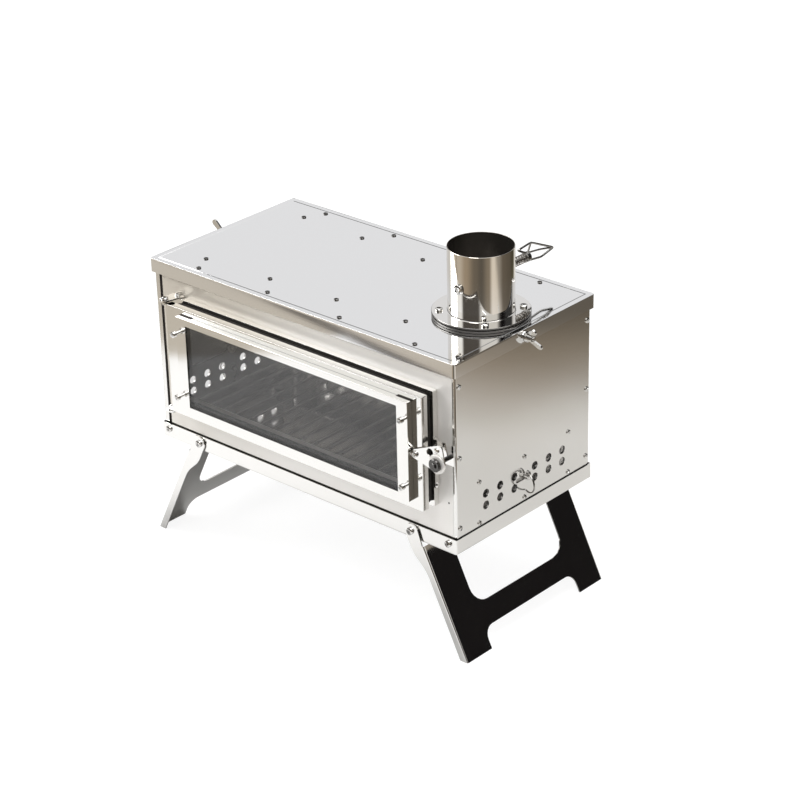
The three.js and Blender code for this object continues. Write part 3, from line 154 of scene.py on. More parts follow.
# ------------------------------------------------------------------ shader helpers
class Nodes:
    """A node tree with short calls for adding and linking nodes."""

    def __init__(self, tree):
        self.tree = tree

    def add(self, kind, **settings):
        node = self.tree.nodes.new(kind)
        for key, value in settings.items():
            setattr(node, key, value)
        return node

    def feed(self, socket, value):
        if isinstance(value, bpy.types.NodeSocket):
            self.tree.links.new(value, socket)
        elif isinstance(value, (tuple, list)) and len(value) == 3 and len(socket.default_value) == 4:
            socket.default_value = (*value, 1.0)
        else:
            socket.default_value = value

    def math(self, operation, a, b=0.0, c=0.0, clamp=False):
        node = self.add("ShaderNodeMath", operation=operation, use_clamp=clamp)
        for socket, value in zip(node.inputs, (a, b, c)):
            self.feed(socket, value)
        return node.outputs[0]

    def vector(self, operation, a, b=(0, 0, 0), output=0):
        node = self.add("ShaderNodeVectorMath", operation=operation)
        self.feed(node.inputs[0], a)
        self.feed(node.inputs[1], b)
        return node.outputs[output]

    def mix(self, factor, a, b):
        node = self.add("ShaderNodeMix", data_type="RGBA")
        self.feed(node.inputs[0], factor)
        self.feed(node.inputs[6], a)
        self.feed(node.inputs[7], b)
        return node.outputs[2]

    def mix_shader(self, factor, a, b):
        node = self.add("ShaderNodeMixShader")
        for socket, value in zip(node.inputs, (factor, a, b)):
            self.feed(socket, value)
        return node.outputs[0]

    def spread(self, value, low, high, to_low=0.0, to_high=1.0, smooth=True):
        node = self.add("ShaderNodeMapRange")
        node.interpolation_type = "SMOOTHSTEP" if smooth else "LINEAR"
        for socket, number in zip(node.inputs, (value, low, high, to_low, to_high)):
            self.feed(socket, number)
        return node.outputs[0]

    def noise(self, vector, scale, detail=2.0, roughness=0.5):
        node = self.add("ShaderNodeTexNoise")
        self.feed(node.inputs["Vector"], vector)
        self.feed(node.inputs["Scale"], scale)
        self.feed(node.inputs["Detail"], detail)
        self.feed(node.inputs["Roughness"], roughness)
        return node.outputs["Fac"]

    def stretched(self, vector, scale):
        node = self.add("ShaderNodeMapping")
        self.feed(node.inputs["Vector"], vector)
        self.feed(node.inputs["Scale"], scale)
        return node.outputs[0]

    def place(self):
        return self.add("ShaderNodeTexCoord").outputs["Object"]


def shader_group(name, inputs, outputs):
    """A node group with named float, colour or vector sockets."""
    tree = bpy.data.node_groups.new(name, "ShaderNodeTree")
    for label, kind, default in inputs:
        socket = tree.interface.new_socket(label, in_out="INPUT", socket_type=kind)
        if default is not None:
            socket.default_value = default
    for label, kind in outputs:
        tree.interface.new_socket(label, in_out="OUTPUT", socket_type=kind)
    n = Nodes(tree)
    return n, n.add("NodeGroupInput"), n.add("NodeGroupOutput")


FLOAT, COLOUR, VECTOR = "NodeSocketFloat", "NodeSocketColor", "NodeSocketVector"


def make_smudge_group():
    """Roughness that varies with finger marks and wiped patches."""
    n, given, result = shader_group(
        "wiped_polish", [("Roughness", FLOAT, 0.1), ("Spread", FLOAT, 0.05), ("Scale", FLOAT, 9.0)],
        [("Roughness", FLOAT)]
    )
    place = n.place()
    broad = n.noise(place, given.outputs["Scale"], 3.0, 0.6)
    wipes = n.noise(n.stretched(place, (3.0, 3.0, 14.0)), 6.0, 4.0, 0.65)
    both = n.math("MULTIPLY", n.spread(broad, 0.35, 0.75), n.spread(wipes, 0.3, 0.8))
    rough = n.math("MULTIPLY_ADD", both, given.outputs["Spread"], given.outputs["Roughness"])
    n.feed(result.inputs[0], rough)
    return n.tree


def make_ripple_group():
    """Height of thin sheet: a slow ripple, and the fine lines left by the rolls."""
    n, given, result = shader_group(
        "rolled_sheet",
        [
            ("Ripple", FLOAT, 1.0), ("Ripple Scale", FLOAT, 4.0), ("Grain", FLOAT, 0.05),
            ("Grain Stretch", VECTOR, (4.0, 400.0, 400.0))
        ],
        [("Height", FLOAT)]
    )
    place = n.place()
    slow = n.noise(place, given.outputs["Ripple Scale"], 1.0, 0.4)
    stretch = n.vector("MULTIPLY", place, given.outputs["Grain Stretch"])
    lines = n.noise(stretch, 1.0, 2.0, 0.5)
    height = n.math("MULTIPLY", slow, given.outputs["Ripple"])
    height = n.math("MULTIPLY_ADD", lines, given.outputs["Grain"], height)
    n.feed(result.inputs[0], height)
    return n.tree


def make_tint_group():
    """A colour laid on round a spot: straw and bronze heat tint where the collar has run hot, and a painted
    reflection of the floor's beige and brown on the front and side sheets.
    """
    n, given, result = shader_group(
        "heat_tint_and_painted_reflection",
        [
            ("Steel", COLOUR, (0.8, 0.8, 0.8, 1.0)), ("Tint", COLOUR, (0.6, 0.5, 0.35, 1.0)),
            ("Amount", FLOAT, 0.5), ("Spot", VECTOR, (0.0, 0.0, 0.0)), ("Near", FLOAT, 0.05),
            ("Far", FLOAT, 0.3)
        ],
        [("Colour", COLOUR)]
    )
    place = n.place()
    away = n.vector("DISTANCE", place, given.outputs["Spot"], output=1)
    cloud = n.noise(place, 14.0, 3.0, 0.6)
    away = n.math("MULTIPLY_ADD", n.math("SUBTRACT", cloud, 0.5), 0.06, away)
    near = n.spread(away, given.outputs["Near"], given.outputs["Far"], 1.0, 0.0)
    amount = n.math("MULTIPLY", near, given.outputs["Amount"])
    n.feed(result.inputs[0], n.mix(amount, given.outputs["Steel"], given.outputs["Tint"]))
    return n.tree


WIPED = make_smudge_group()
ROLLED = make_ripple_group()
TINTED = make_tint_group()


def use_group(n, tree, **values):
    node = n.add("ShaderNodeGroup", node_tree=tree)
    for label, value in values.items():
        n.feed(node.inputs[label.replace("_", " ")], value)
    return node.outputs[0]


def material(name):
    made = bpy.data.materials.new(name)
    made.use_nodes = True
    n = Nodes(made.node_tree)
    return made, n, made.node_tree.nodes["Principled BSDF"]


def direct_view(n):
    """1 for what is seen straight or through glass, 0 for what the steel mirrors."""
    rays = n.add("ShaderNodeLightPath").outputs
    return n.math("MAXIMUM", rays["Is Camera Ray"], rays["Is Transmission Ray"])


def bumped(n, shader, height, distance):
    bump = n.add("ShaderNodeBump")
    bump.inputs["Distance"].default_value = distance
    n.feed(bump.inputs["Height"], height)
    n.feed(shader.inputs["Normal"], bump.outputs[0])


BUMP_DEPTH = 0.001


def steel(
    name, colour, roughness, spread=0.04, ripple=0.0, ripple_scale=4.0, grain=0.05,
    stretch=(4.0, 400.0, 400.0), tint=None, metallic=1.0, painted_dark=None
):
    """A steel finish: a polish wiped here and there, rolled ripples, a colour round a spot (heat tint on
    the collar, a painted reflection on the front and side sheets), and painted shade and dark reflections.
    """
    made, n, shader = material(name)
    shader.inputs["Metallic"].default_value = metallic
    if tint:
        colour = use_group(n, TINTED, Steel=(*colour, 1.0), **tint)
    rough = use_group(n, WIPED, Roughness=roughness, Spread=spread, Scale=9.0)
    # Painted shade and dark reflections: a mask darkens the colour and roughens the polish.
    if painted_dark:
        painted_dark_amount = painted_dark(n)
        colour = n.mix(painted_dark_amount, colour if tint else (*colour, 1.0), (*PAINTED_DARK_COLOUR, 1.0))
        rough = n.math("MULTIPLY_ADD", painted_dark_amount, 0.4, rough, clamp=True)
    n.feed(shader.inputs["Base Color"], colour)
    n.feed(shader.inputs["Roughness"], rough)
    height = use_group(
        n, ROLLED, Ripple=ripple, Ripple_Scale=ripple_scale, Grain=grain, Grain_Stretch=stretch
    )
    bumped(n, shader, height, BUMP_DEPTH)
    return made


# The colour of painted shade and of painted dark reflections.
PAINTED_DARK_COLOUR = (0.035, 0.03, 0.027)


def parts_of(n):
    split = n.add("ShaderNodeSeparateXYZ")
    n.feed(split.inputs[0], n.place())
    return split.outputs


def painted_joint_shade(n):
    """Painted shade where the front sheet steps behind its neighbours and meets the tray, and a painted
    dark spot at a vent.
    """
    _, y, z = parts_of(n)
    behind = n.spread(y, (MIDDLE_Y - HALF_Y + 0.5) * MM, (MIDDLE_Y - HALF_Y + 0.9) * MM)
    rim = (BASE_Z + TRAY_RIM) * MM
    behind = n.math("MAXIMUM", behind, n.spread(z, rim + 0.0012, rim + 0.0018, 1.0, 0.0))
    hole = (0.212, (MIDDLE_Y - HALF_Y) * MM, (LID_TOP - 164.8) * MM)
    away = n.vector("DISTANCE", n.place(), hole, output=1)
    return n.math("MAXIMUM", behind, n.spread(away, 0.0009, 0.0013, 1.0, 0.0))


def painted_slit_shade(n):
    """Painted shade for the relief slits at both ends of the retainer's top fold; the slits are not cut."""
    x, y, z = parts_of(n)
    deep = n.spread(y, (MIDDLE_Y + RETAINER_FACE + 4.9) * MM, (MIDDLE_Y + RETAINER_FACE + 5.1) * MM)
    over = n.spread(z, (RETAINER_Z[1] - 0.9) * MM, (RETAINER_Z[1] - 0.7) * MM)
    low, high = RETAINER_X
    ends = n.math(
        "MAXIMUM", n.spread(x, (low + 20.0) * MM, (low + 20.4) * MM, 1.0, 0.0),
        n.spread(x, (high - 20.4) * MM, (high - 20.0) * MM)
    )
    return n.math("MULTIPLY", ends, n.math("MULTIPLY", deep, over))


def painted_flue_dark(n):
    """Painted shade on the bore of the collar, lighter and browner towards its mouth, and a painted dark
    reflection round the flange's cut edge.
    """
    x, y, z = parts_of(n)
    across = n.math("SUBTRACT", x, COLLAR_X * MM)
    along = n.math("SUBTRACT", y, MIDDLE_Y * MM)
    square = n.math("MULTIPLY_ADD", across, across, n.math("MULTIPLY", along, along))
    away = n.math("SQRT", square)
    bore = n.spread(away, 0.0355, 0.0359, 1.0, 0.0)
    bore = n.math("MULTIPLY", bore, n.spread(z, (LID_TOP + 30) * MM, (LID_TOP + 85) * MM, 0.97, 0.8))
    return n.math("MAXIMUM", bore, n.spread(away, 0.0528, 0.0531, 0.0, 0.8))


MIRROR = dict(colour=(0.83, 0.82, 0.80), roughness=0.08, ripple=0.45, ripple_scale=3.0, grain=0.004)
POLISHED = steel("mirror_polished_sheet", **MIRROR)
# The retainer sheet carries painted shade for the relief slits at its top fold's ends.
RETAINER = steel("retainer_sheet_steel", **MIRROR, painted_dark=painted_slit_shade)
# The front sheet is beige towards its upper left, a painted reflection of the far floor's beige, and
# carries painted shade in its joints and at a vent.
FRONT = steel(
    "satin_front_sheet", (0.96, 0.94, 0.91), 0.42, ripple=0.3, ripple_scale=3.0, grain=0.01,
    tint=dict(
        Tint=(0.60, 0.55, 0.47, 1.0), Amount=0.85, Spot=(-0.21, (MIDDLE_Y - HALF_Y) * MM, 0.34),
        Near=0.06, Far=0.30
    ),
    metallic=0.4, painted_dark=painted_joint_shade
)
# The right side sheet turns browner towards the middle of its top: a painted reflection of the brown floor
# it mirrors.
PANEL = steel(
    "polished_side_sheet", (0.80, 0.79, 0.77), 0.13, ripple=1.3, ripple_scale=3.0, grain=0.01,
    tint=dict(
        Tint=(0.70, 0.65, 0.58, 1.0), Amount=0.5, Spot=(0.26, MIDDLE_Y * MM, 0.36), Near=0.05, Far=0.2
    )
)
LID_STEEL = steel(
    "polished_lid_sheet", (0.86, 0.86, 0.86), 0.05, spread=0.02, ripple=0.06, ripple_scale=2.5,
    grain=0.003
)
# The collar: heat tint round its mouth, painted shade in its bore, and a painted dark reflection round the
# flange's edge.
COLLAR_STEEL = steel(
    "flue_collar_sheet", (0.80, 0.785, 0.76), 0.05, spread=0.03, ripple=0.02, ripple_scale=8.0,
    grain=0.002, stretch=(300.0, 300.0, 6.0),
    tint=dict(
        Tint=(0.66, 0.58, 0.46, 1.0), Amount=0.5,
        Spot=(COLLAR_X * MM, MIDDLE_Y * MM, (LID_TOP + 80.0) * MM), Near=0.04, Far=0.08
    ),
    painted_dark=painted_flue_dark
)
FASTENER = steel("turned_screw_steel", (0.70, 0.69, 0.67), 0.1, grain=0.02)
WASHER = steel("tumbled_washer_steel", (0.90, 0.88, 0.85), 0.4, grain=0.02, metallic=0.4)
# The lid screws: the screw steel made darker, a painted dark reflection on their domes.
LID_SCREW = steel("lid_screw_painted_dark", (0.14, 0.135, 0.13), 0.2, grain=0.02)
DARK = steel("dark_chromed_steel", (0.10, 0.097, 0.094), 0.12, grain=0.01)
SPRING = steel("spring_wire", (0.30, 0.28, 0.26), 0.25, grain=0.03)
HANDLE = steel("handle_wire", (0.36, 0.35, 0.335), 0.16, grain=0.02)
GRATE = steel("grate_rod_steel", (0.88, 0.87, 0.86), 0.16, spread=0.08, grain=0.03)
INNER = steel("inner_sheet_steel", (0.42, 0.405, 0.39), 0.3, spread=0.1, ripple=0.4, grain=0.04)


def make_rope_material():
    made, n, shader = material("braided_rope")
    place = n.place()
    strands = n.add("ShaderNodeTexWave", wave_type="BANDS", bands_direction="DIAGONAL")
    n.feed(strands.inputs["Vector"], place)
    n.feed(strands.inputs["Scale"], 260.0)
    n.feed(strands.inputs["Distortion"], 1.5)
    fuzz = n.noise(place, 900.0, 3.0, 0.7)
    height = n.math("MULTIPLY_ADD", fuzz, 0.4, strands.outputs["Fac"])
    colour = n.mix(strands.outputs["Fac"], (0.006, 0.005, 0.004), (0.022, 0.018, 0.014))
    n.feed(shader.inputs["Base Color"], colour)
    n.feed(shader.inputs["Roughness"], n.spread(fuzz, 0.2, 0.8, 0.82, 0.98))
    bumped(n, shader, height, 0.0006)
    return made


def make_gasket_material():
    made, n, shader = material("pressed_fibre_gasket")
    place = n.place()
    fibres = n.noise(n.stretched(place, (1.0, 1.0, 4.0)), 700.0, 4.0, 0.7)
    n.feed(shader.inputs["Base Color"], n.mix(fibres, (0.012, 0.011, 0.010), (0.05, 0.045, 0.04)))
    n.feed(shader.inputs["Roughness"], n.spread(fibres, 0.2, 0.8, 0.75, 0.95))
    bumped(n, shader, fibres, 0.0004)
    return made


def make_glass_material():
    made, n, shader = material("fire_glass")
    place = n.place()
    film = n.noise(n.stretched(place, (6.0, 6.0, 9.0)), 3.0, 4.0, 0.6)
    n.feed(shader.inputs["Base Color"], n.mix(film, (0.60, 0.59, 0.585), (0.66, 0.65, 0.645)))
    n.feed(shader.inputs["Roughness"], n.spread(film, 0.35, 0.8, 0.0, 0.04))
    shader.inputs["Transmission Weight"].default_value = 1.0
    shader.inputs["IOR"].default_value = 1.47
    return made


ROPE = make_rope_material()
GASKET = make_gasket_material()
GLASS = make_glass_material()

# ------------------------------------------------------------------ mesh helpers
FACING = {
    "up": Matrix(((1, 0, 0), (0, 1, 0), (0, 0, 1))),
    "down": Matrix(((1, 0, 0), (0, -1, 0), (0, 0, -1))),
    "front": Matrix(((1, 0, 0), (0, 0, -1), (0, 1, 0))),
    "back": Matrix(((-1, 0, 0), (0, 0, 1), (0, 1, 0))),
    "right": Matrix(((0, 0, 1), (1, 0, 0), (0, 1, 0))),
    "left": Matrix(((0, 0, -1), (-1, 0, 0), (0, 1, 0)))
}
INWARD = {"up": "down", "down": "up", "front": "back", "back": "front", "right": "left", "left": "right"}


def placed(way, spot, turn=0.0):
    """Lays a piece drawn in its own plane (u, v, outwards w) on a spot of the stove."""
    return Matrix.Translation(spot) @ FACING[way].to_4x4() @ Matrix.Rotation(turn, 4, "Z")


def made_verts(made):
    return [item for item in made["geom"] if isinstance(item, bmesh.types.BMVert)]


def shift(bm, verts, *vec):
    bmesh.ops.translate(bm, vec=vec, verts=verts)


def everything(bm):
    return bm.verts[:] + bm.edges[:] + bm.faces[:]


def eased(bm, geom, offset, segments, affect="EDGES", clamp=False):
    return bmesh.ops.bevel(
        bm, geom=geom, offset=offset, segments=segments, affect=affect, profile=0.5, material=-1,
        clamp_overlap=clamp
    )


def turned_out(bm, axis):
    """Makes the normals agree, so that the largest face across an axis faces along it."""
    bmesh.ops.recalc_face_normals(bm, faces=bm.faces)
    flat = max(bm.faces, key=lambda f: f.calc_area() if abs(f.normal[axis]) > 0.9 else 0)
    if flat.normal[axis] < 0:
        bmesh.ops.reverse_faces(bm, faces=bm.faces)


def open_edges(bm):
    return [edge for edge in bm.edges if edge.is_boundary]


def straight(bm):
    bmesh.ops.remove_doubles(bm, verts=bm.verts, dist=0.002)
    bmesh.ops.recalc_face_normals(bm, faces=bm.faces)


def scene_object(bm, name):
    mesh = bpy.data.meshes.new(name)
    bm.to_mesh(mesh)
    bm.free()
    piece = bpy.data.objects.new(name, mesh)
    bpy.context.scene.collection.objects.link(piece)
    return piece


def add_piece(bm, name, body, finish, slot, *stands_for, edge=0.0, smooth=35.0):
    """Turns a mesh in stove millimetres into a piece that rides on a body."""
    shift(bm, bm.verts, 0, MIDDLE_Y, 0)
    bmesh.ops.scale(bm, vec=(MM, MM, MM), verts=bm.verts)
    piece = scene_object(bm, name)
    piece.data.shade_smooth()
    piece.data.set_sharp_from_angle(angle=math.radians(smooth))
    piece.data.materials.append(finish)
    if edge:
        soften = piece.modifiers.new("edge", "BEVEL")
        soften.width = edge * MM
        soften.segments = 2
        soften.limit_method = "ANGLE"
        soften.angle_limit = math.radians(50)
        soften.harden_normals = True
    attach(piece, body)
    if stands_for:
        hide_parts(*stands_for)


def add_screw(parts, name, body="stove", *stands_for):
    add_piece(joined(parts), name, body, FASTENER, "screw_steel", *stands_for)


def edges_of(verts):
    return list(dict.fromkeys(edge for vert in verts for edge in vert.link_edges))


def box_outline(bm, u, v, radius=0.0, segments=5):
    """Edges of a rectangle with rounded corners."""
    verts = bmesh.ops.create_grid(bm, x_segments=1, y_segments=1, size=0.5)["verts"]
    bmesh.ops.scale(bm, vec=(u[1] - u[0], v[1] - v[0], 1), verts=verts)
    shift(bm, verts, (u[0] + u[1]) / 2, (v[0] + v[1]) / 2, 0)
    if radius:
        verts = eased(bm, verts, radius, segments, "VERTICES")["verts"]
    face = next(face for face in verts[0].link_faces)
    edges = list(face.edges)
    bmesh.ops.delete(bm, geom=[face], context="FACES_ONLY")
    return edges


def circle_outline(bm, spot, radius, segments=20):
    verts = bmesh.ops.create_circle(bm, segments=segments, radius=radius)["verts"]
    shift(bm, verts, *spot, 0)
    return edges_of(verts)


def wrap_outline(bm, circles, segments=20):
    """The tight outline round a few circles ((u, v), radius)."""
    verts = []
    for spot, radius in circles:
        ring = bmesh.ops.create_circle(bm, segments=segments, radius=radius)["verts"]
        shift(bm, ring, *spot, 0)
        bmesh.ops.delete(bm, geom=edges_of(ring), context="EDGES_FACES")
        verts += ring
    order = [verts[i] for i in convex_hull_2d([vert.co.xy for vert in verts])]
    kept = set(order)
    edges = [bm.edges.new(pair) for pair in zip(order, order[1:] + order[:1])]
    bmesh.ops.delete(bm, geom=[v for v in verts if v not in kept], context="VERTS")
    return edges


def window(u, v, wider, taller, radius=0.0):
    """Draws the rectangle (u, v), grown at each side."""
    u, v = (u[0] - wider, u[1] + wider), (v[0] - taller, v[1] + taller)
    return lambda bm: box_outline(bm, u, v, radius)


def round_hole(spot, radius, segments=16):
    """Draws a circle, as the edge of a hole or of a round plate."""
    return lambda bm: circle_outline(bm, spot, radius, segments)


def wrap(circles, segments=20):
    """Draws the tight outline round a few circles."""
    return lambda bm: wrap_outline(bm, circles, segments)


def fill_between(bm, edges):
    made = bmesh.ops.triangle_fill(bm, use_beauty=True, edges=edges, normal=(0, 0, 1))
    faces = [item for item in made["geom"] if isinstance(item, bmesh.types.BMFace)]
    if faces and faces[0].normal.z < 0:
        bmesh.ops.reverse_faces(bm, faces=faces)
    return faces


def raise_faces(bm, faces, height):
    """Extrudes a flat sheet downwards into a closed plate, its top on the plane."""
    made = bmesh.ops.extrude_face_region(bm, geom=faces, use_keep_orig=True)
    shift(bm, made_verts(made), 0, 0, -height)
    bmesh.ops.recalc_face_normals(bm, faces=bm.faces)


def flat_plate(outline, holes, thickness):
    """A plate with its outer face on w = 0, from functions that draw its loops."""
    bm = bmesh.new()
    edges = outline(bm)
    for hole in holes:
        edges += hole(bm)
    raise_faces(bm, fill_between(bm, edges), thickness)
    return bm


def folded_pan(u, v, height, corner, fold, holes=(), groove=None):
    """A sheet pan, open below: its plate on w = 0, its rim down to -height.

    A groove (inset, width, depth) runs round the plate at that inset.
    """
    bm = bmesh.new()
    outer = box_outline(bm, u, v, corner, 4)
    edges = list(outer)
    if groove:
        inset, width, depth = groove
        for share in (0.0, 0.5, 1.0):
            inner = inset + share * width
            ring = box_outline(bm, (u[0] + inner, u[1] - inner), (v[0] + inner, v[1] - inner))
            fill_between(bm, edges + ring)
            edges = ring
            if share == 0.5:
                bed = {vert for edge in ring for vert in edge.verts}
    for hole in holes:
        edges += hole(bm)
    fill_between(bm, edges)
    if groove:
        for vert in bed:
            vert.co.z -= depth
    made = bmesh.ops.extrude_edge_only(bm, edges=outer)
    rim = made_verts(made)
    shift(bm, rim, 0, 0, -height)
    eased(bm, outer, fold, 3, clamp=True)
    turned_out(bm, 2)
    inside = max(corner, fold) + FLAT_MARGIN
    below = -fold - FLAT_MARGIN
    kept_flat(bm, (u[0] + inside, u[1] - inside), (v[0] + inside, v[1] - inside), (below,))
    return walled(bm, SHEET)


def kept_flat(bm, u=(), v=(), w=()):
    """Cuts the sheet just inside its folds, so that its flat faces stay true mirrors."""
    for axis, places in enumerate((u, v, w)):
        for place in places:
            spot, normal = Vector(), Vector()
            spot[axis], normal[axis] = place, 1.0
            bmesh.ops.bisect_plane(bm, geom=everything(bm), plane_co=spot, plane_no=normal)


def finished(carrier):
    """The mesh that an object's modifiers or curve make; the object is used up."""
    evaluated = carrier.evaluated_get(bpy.context.evaluated_depsgraph_get())
    bm = bmesh.new()
    bm.from_mesh(evaluated.to_mesh())
    evaluated.to_mesh_clear()
    bpy.data.batch_remove([carrier, carrier.data])
    return bm


def walled(bm, wall):
    """Gives an open sheet its wall, inwards from its outer face."""
    sheet = scene_object(bm, "sheet")
    thick = sheet.modifiers.new("wall", "SOLIDIFY")
    thick.thickness = wall
    thick.offset = -1.0
    thick.use_even_offset = True
    return finished(sheet)


def spun(profile, segments=32):
    """A turned solid about the w axis from (radius, w) pairs, bottom to top."""
    bm = bmesh.new()
    verts = [bm.verts.new((radius, 0, height)) for radius, height in profile]
    edges = [bm.edges.new(pair) for pair in zip(verts, verts[1:])]
    if profile[0][0] and profile[-1][0]:
        edges.append(bm.edges.new((verts[-1], verts[0])))
    bmesh.ops.spin(
        bm, geom=verts + edges, cent=(0, 0, 0), axis=(0, 0, 1), angle=math.tau, steps=segments,
        use_merge=True
    )
    straight(bm)
    return bm


def joined(parts):
    """One mesh of several, each a (mesh, place) pair; the parts are used up."""
    whole = bmesh.new()
    for bm, place in parts:
        bmesh.ops.transform(bm, matrix=place, verts=bm.verts)
        shell = bpy.data.meshes.new("part")
        bm.to_mesh(shell)
        bm.free()
        whole.from_mesh(shell)
        bpy.data.meshes.remove(shell)
    return whole


def moved(bm, place):
    bmesh.ops.transform(bm, matrix=place, verts=bm.verts)
    return bm


HERE = Matrix.Identity(4)


def cross_head(radius, height, washer=0.0):
    """A domed screw head with a cross recess, standing on w = 0."""
    bm = bmesh.new()
    bmesh.ops.create_grid(bm, x_segments=7, y_segments=7, size=1.0)
    cell = 2.0 / 7.0
    recess = []
    for face in bm.faces:
        u, v = face.calc_center_median().xy
        arm = 1.6 * cell
        if (abs(u) < 0.1 and abs(v) < arm) or (abs(v) < 0.1 and abs(u) < arm):
            recess.append(face)
    for vert in bm.verts:
        u, v = vert.co.xy
        du, dv = u * math.sqrt(1 - v * v / 2), v * math.sqrt(1 - u * u / 2)
        rise = 0.45 + 0.55 * math.sqrt(max(0.0, 1 - 0.9 * (du * du + dv * dv)))
        vert.co = (du * radius, dv * radius, height * rise)
    rim = open_edges(bm)
    made = bmesh.ops.extrude_face_region(bm, geom=recess)
    sunk = made_verts(made)
    bmesh.ops.scale(bm, vec=(0.85, 0.85, 0.0), verts=sunk)
    shift(bm, sunk, 0, 0, 0.45 * height)
    for vert in made_verts(bmesh.ops.extrude_edge_only(bm, edges=rim)):
        vert.co.z = 0.0
    bmesh.ops.holes_fill(bm, edges=open_edges(bm), sides=0)
    straight(bm)
    if not washer:
        return bm
    disc = spun([(0, 0), (washer, 0), (washer, 0.6), (washer - 0.3, 0.8), (0, 0.8)], 24)
    return joined([(disc, HERE), (bm, Matrix.Translation((0, 0, 0.8)))])


def nut(radius, height):
    """A hexagon nut standing on w = 0, its corners eased."""
    chamfer = 0.12 * radius
    profile = [(0, 0), (radius, 0), (radius, height - chamfer), (radius - chamfer, height), (0, height)]
    return spun(profile, 6)


def shank(radius, length, segments=14):
    chamfer = 0.3 * radius
    return spun(
        [(0, 0), (radius, 0), (radius, length - chamfer), (radius - chamfer, length), (0, length)],
        segments
    )


def disc(radius, height):
    return spun([(0, 0), (radius, 0), (radius, height), (0, height)], 20)


def screw(way, spot, head, stem, turn=0.0, nut_at=None):
    """A screw set on a spot, its shank inwards, with a nut on it that deep."""
    inward = INWARD[way]
    parts = [(cross_head(*head), placed(way, spot, turn)), (shank(*stem), placed(inward, spot))]
    if nut_at:
        outwards = FACING[way] @ Vector((0, 0, 1))
        parts.append((nut(*NUT), placed(inward, spot - nut_at * outwards)))
    return parts


def rounded_path(points, radius, closed=False, steps=5):
    """A path whose corners are eased with short curves."""
    points = [Vector(point) for point in points]
    count = len(points)
    eased = []
    for i, point in enumerate(points):
        if not closed and i in (0, count - 1):
            eased.append(point)
            continue
        before = points[i - 1] - point
        after = points[(i + 1) % count] - point
        reach = min(radius, before.length * 0.45, after.length * 0.45)
        start = point + before.normalized() * reach
        end = point + after.normalized() * reach
        for step in range(steps + 1):
            t = step / steps
            eased.append((1 - t) ** 2 * start + 2 * t * (1 - t) * point + t * t * end)
    return eased


def wire(points, radius, closed=False, sides=3):
    """Round wire along a path, as a mesh."""
    curve = bpy.data.curves.new("wire", "CURVE")
    curve.dimensions = "3D"
    curve.bevel_depth = radius
    curve.bevel_resolution = sides
    curve.use_fill_caps = True
    spline = curve.splines.new("POLY")
    spline.points.add(len(points) - 1)
    for target, point in zip(spline.points, points):
        target.co = (*point, 1.0)
    spline.use_cyclic_u = closed
    carrier = bpy.data.objects.new("wire", curve)
    bpy.context.scene.collection.objects.link(carrier)
    bm = finished(carrier)
    straight(bm)
    return bm


def wound(radius, wire_radius, turns, length, steps=18, sides=10):
    """A coil about the w axis, its first turn's wire centred on w = 0."""
    bm = bmesh.new()
    ring = bmesh.ops.create_circle(bm, segments=sides, radius=wire_radius)["verts"]
    bmesh.ops.rotate(bm, cent=(0, 0, 0), matrix=Matrix.Rotation(math.pi / 2, 3, "X"), verts=ring)
    shift(bm, ring, radius, 0, 0)
    count = int(turns * steps)
    bmesh.ops.spin(
        bm, geom=ring + edges_of(ring), cent=(0, 0, 0), axis=(0, 0, 1), dvec=(0, 0, length / count),
        angle=math.tau * turns, steps=count
    )
    bmesh.ops.holes_fill(bm, edges=open_edges(bm), sides=0)
    straight(bm)
    return bm


# ------------------------------------------------------------------ firebox
def lay(way, *spot):
    return placed(way, Vector(spot))


def laid(bm, way, *spot):
    return moved(bm, lay(way, *spot))


def make_lid():
    flue = round_hole((COLLAR_X, 0), FLUE_HOLE, 48)
    half_x, half_y = LID_HALF
    bm = folded_pan((-half_x, half_x), (-half_y, half_y), LID_RIM, CORNER, FOLD, [flue], groove=LID_GROOVE)
    add_piece(
        laid(bm, "up", 0, 0, LID_TOP), "lid_sheet", "stove", LID_STEEL, "brushed_steel", "lid",
        smooth=25.0
    )


RAIL_SCREWS = [(x, y) for x in (-160.0, -53.3, 53.3, 160.0) for y in (-103.0, 103.0)]
BAFFLE_EDGE = ((-172.5, 79.4), (-76.8, 74.9), (18.8, 70.5), (114.5, 66.0))
BAFFLE_SCREWS = [(x, side * half) for x, half in BAFFLE_EDGE for side in (-1, 1)]


def make_lid_screws():
    parts = []
    for i, (x, y) in enumerate(RAIL_SCREWS + BAFFLE_SCREWS + [(216.0, -99.8)]):
        place = placed("up", Vector((x, y, LID_TOP)), 0.7 * i)
        parts.append((cross_head(2.7, 1.6), place))
    add_piece(joined(parts), "lid_screws", "stove", LID_SCREW, "screw_steel")


def make_tray():
    half_x, half_y = TRAY_HALF
    bm = folded_pan((-half_x, half_x), (-half_y, half_y), TRAY_RIM, CORNER, FOLD)
    add_piece(
        laid(bm, "down", 0, 0, BASE_Z), "tray_sheet", "stove", POLISHED, "polished_steel", "base_tray"
    )


VENTS = [(y, BASE_Z + z) for y in (-64.7, -41.2, -17.3, 17.3, 41.2, 64.7) for z in (39.0, 53.0)]


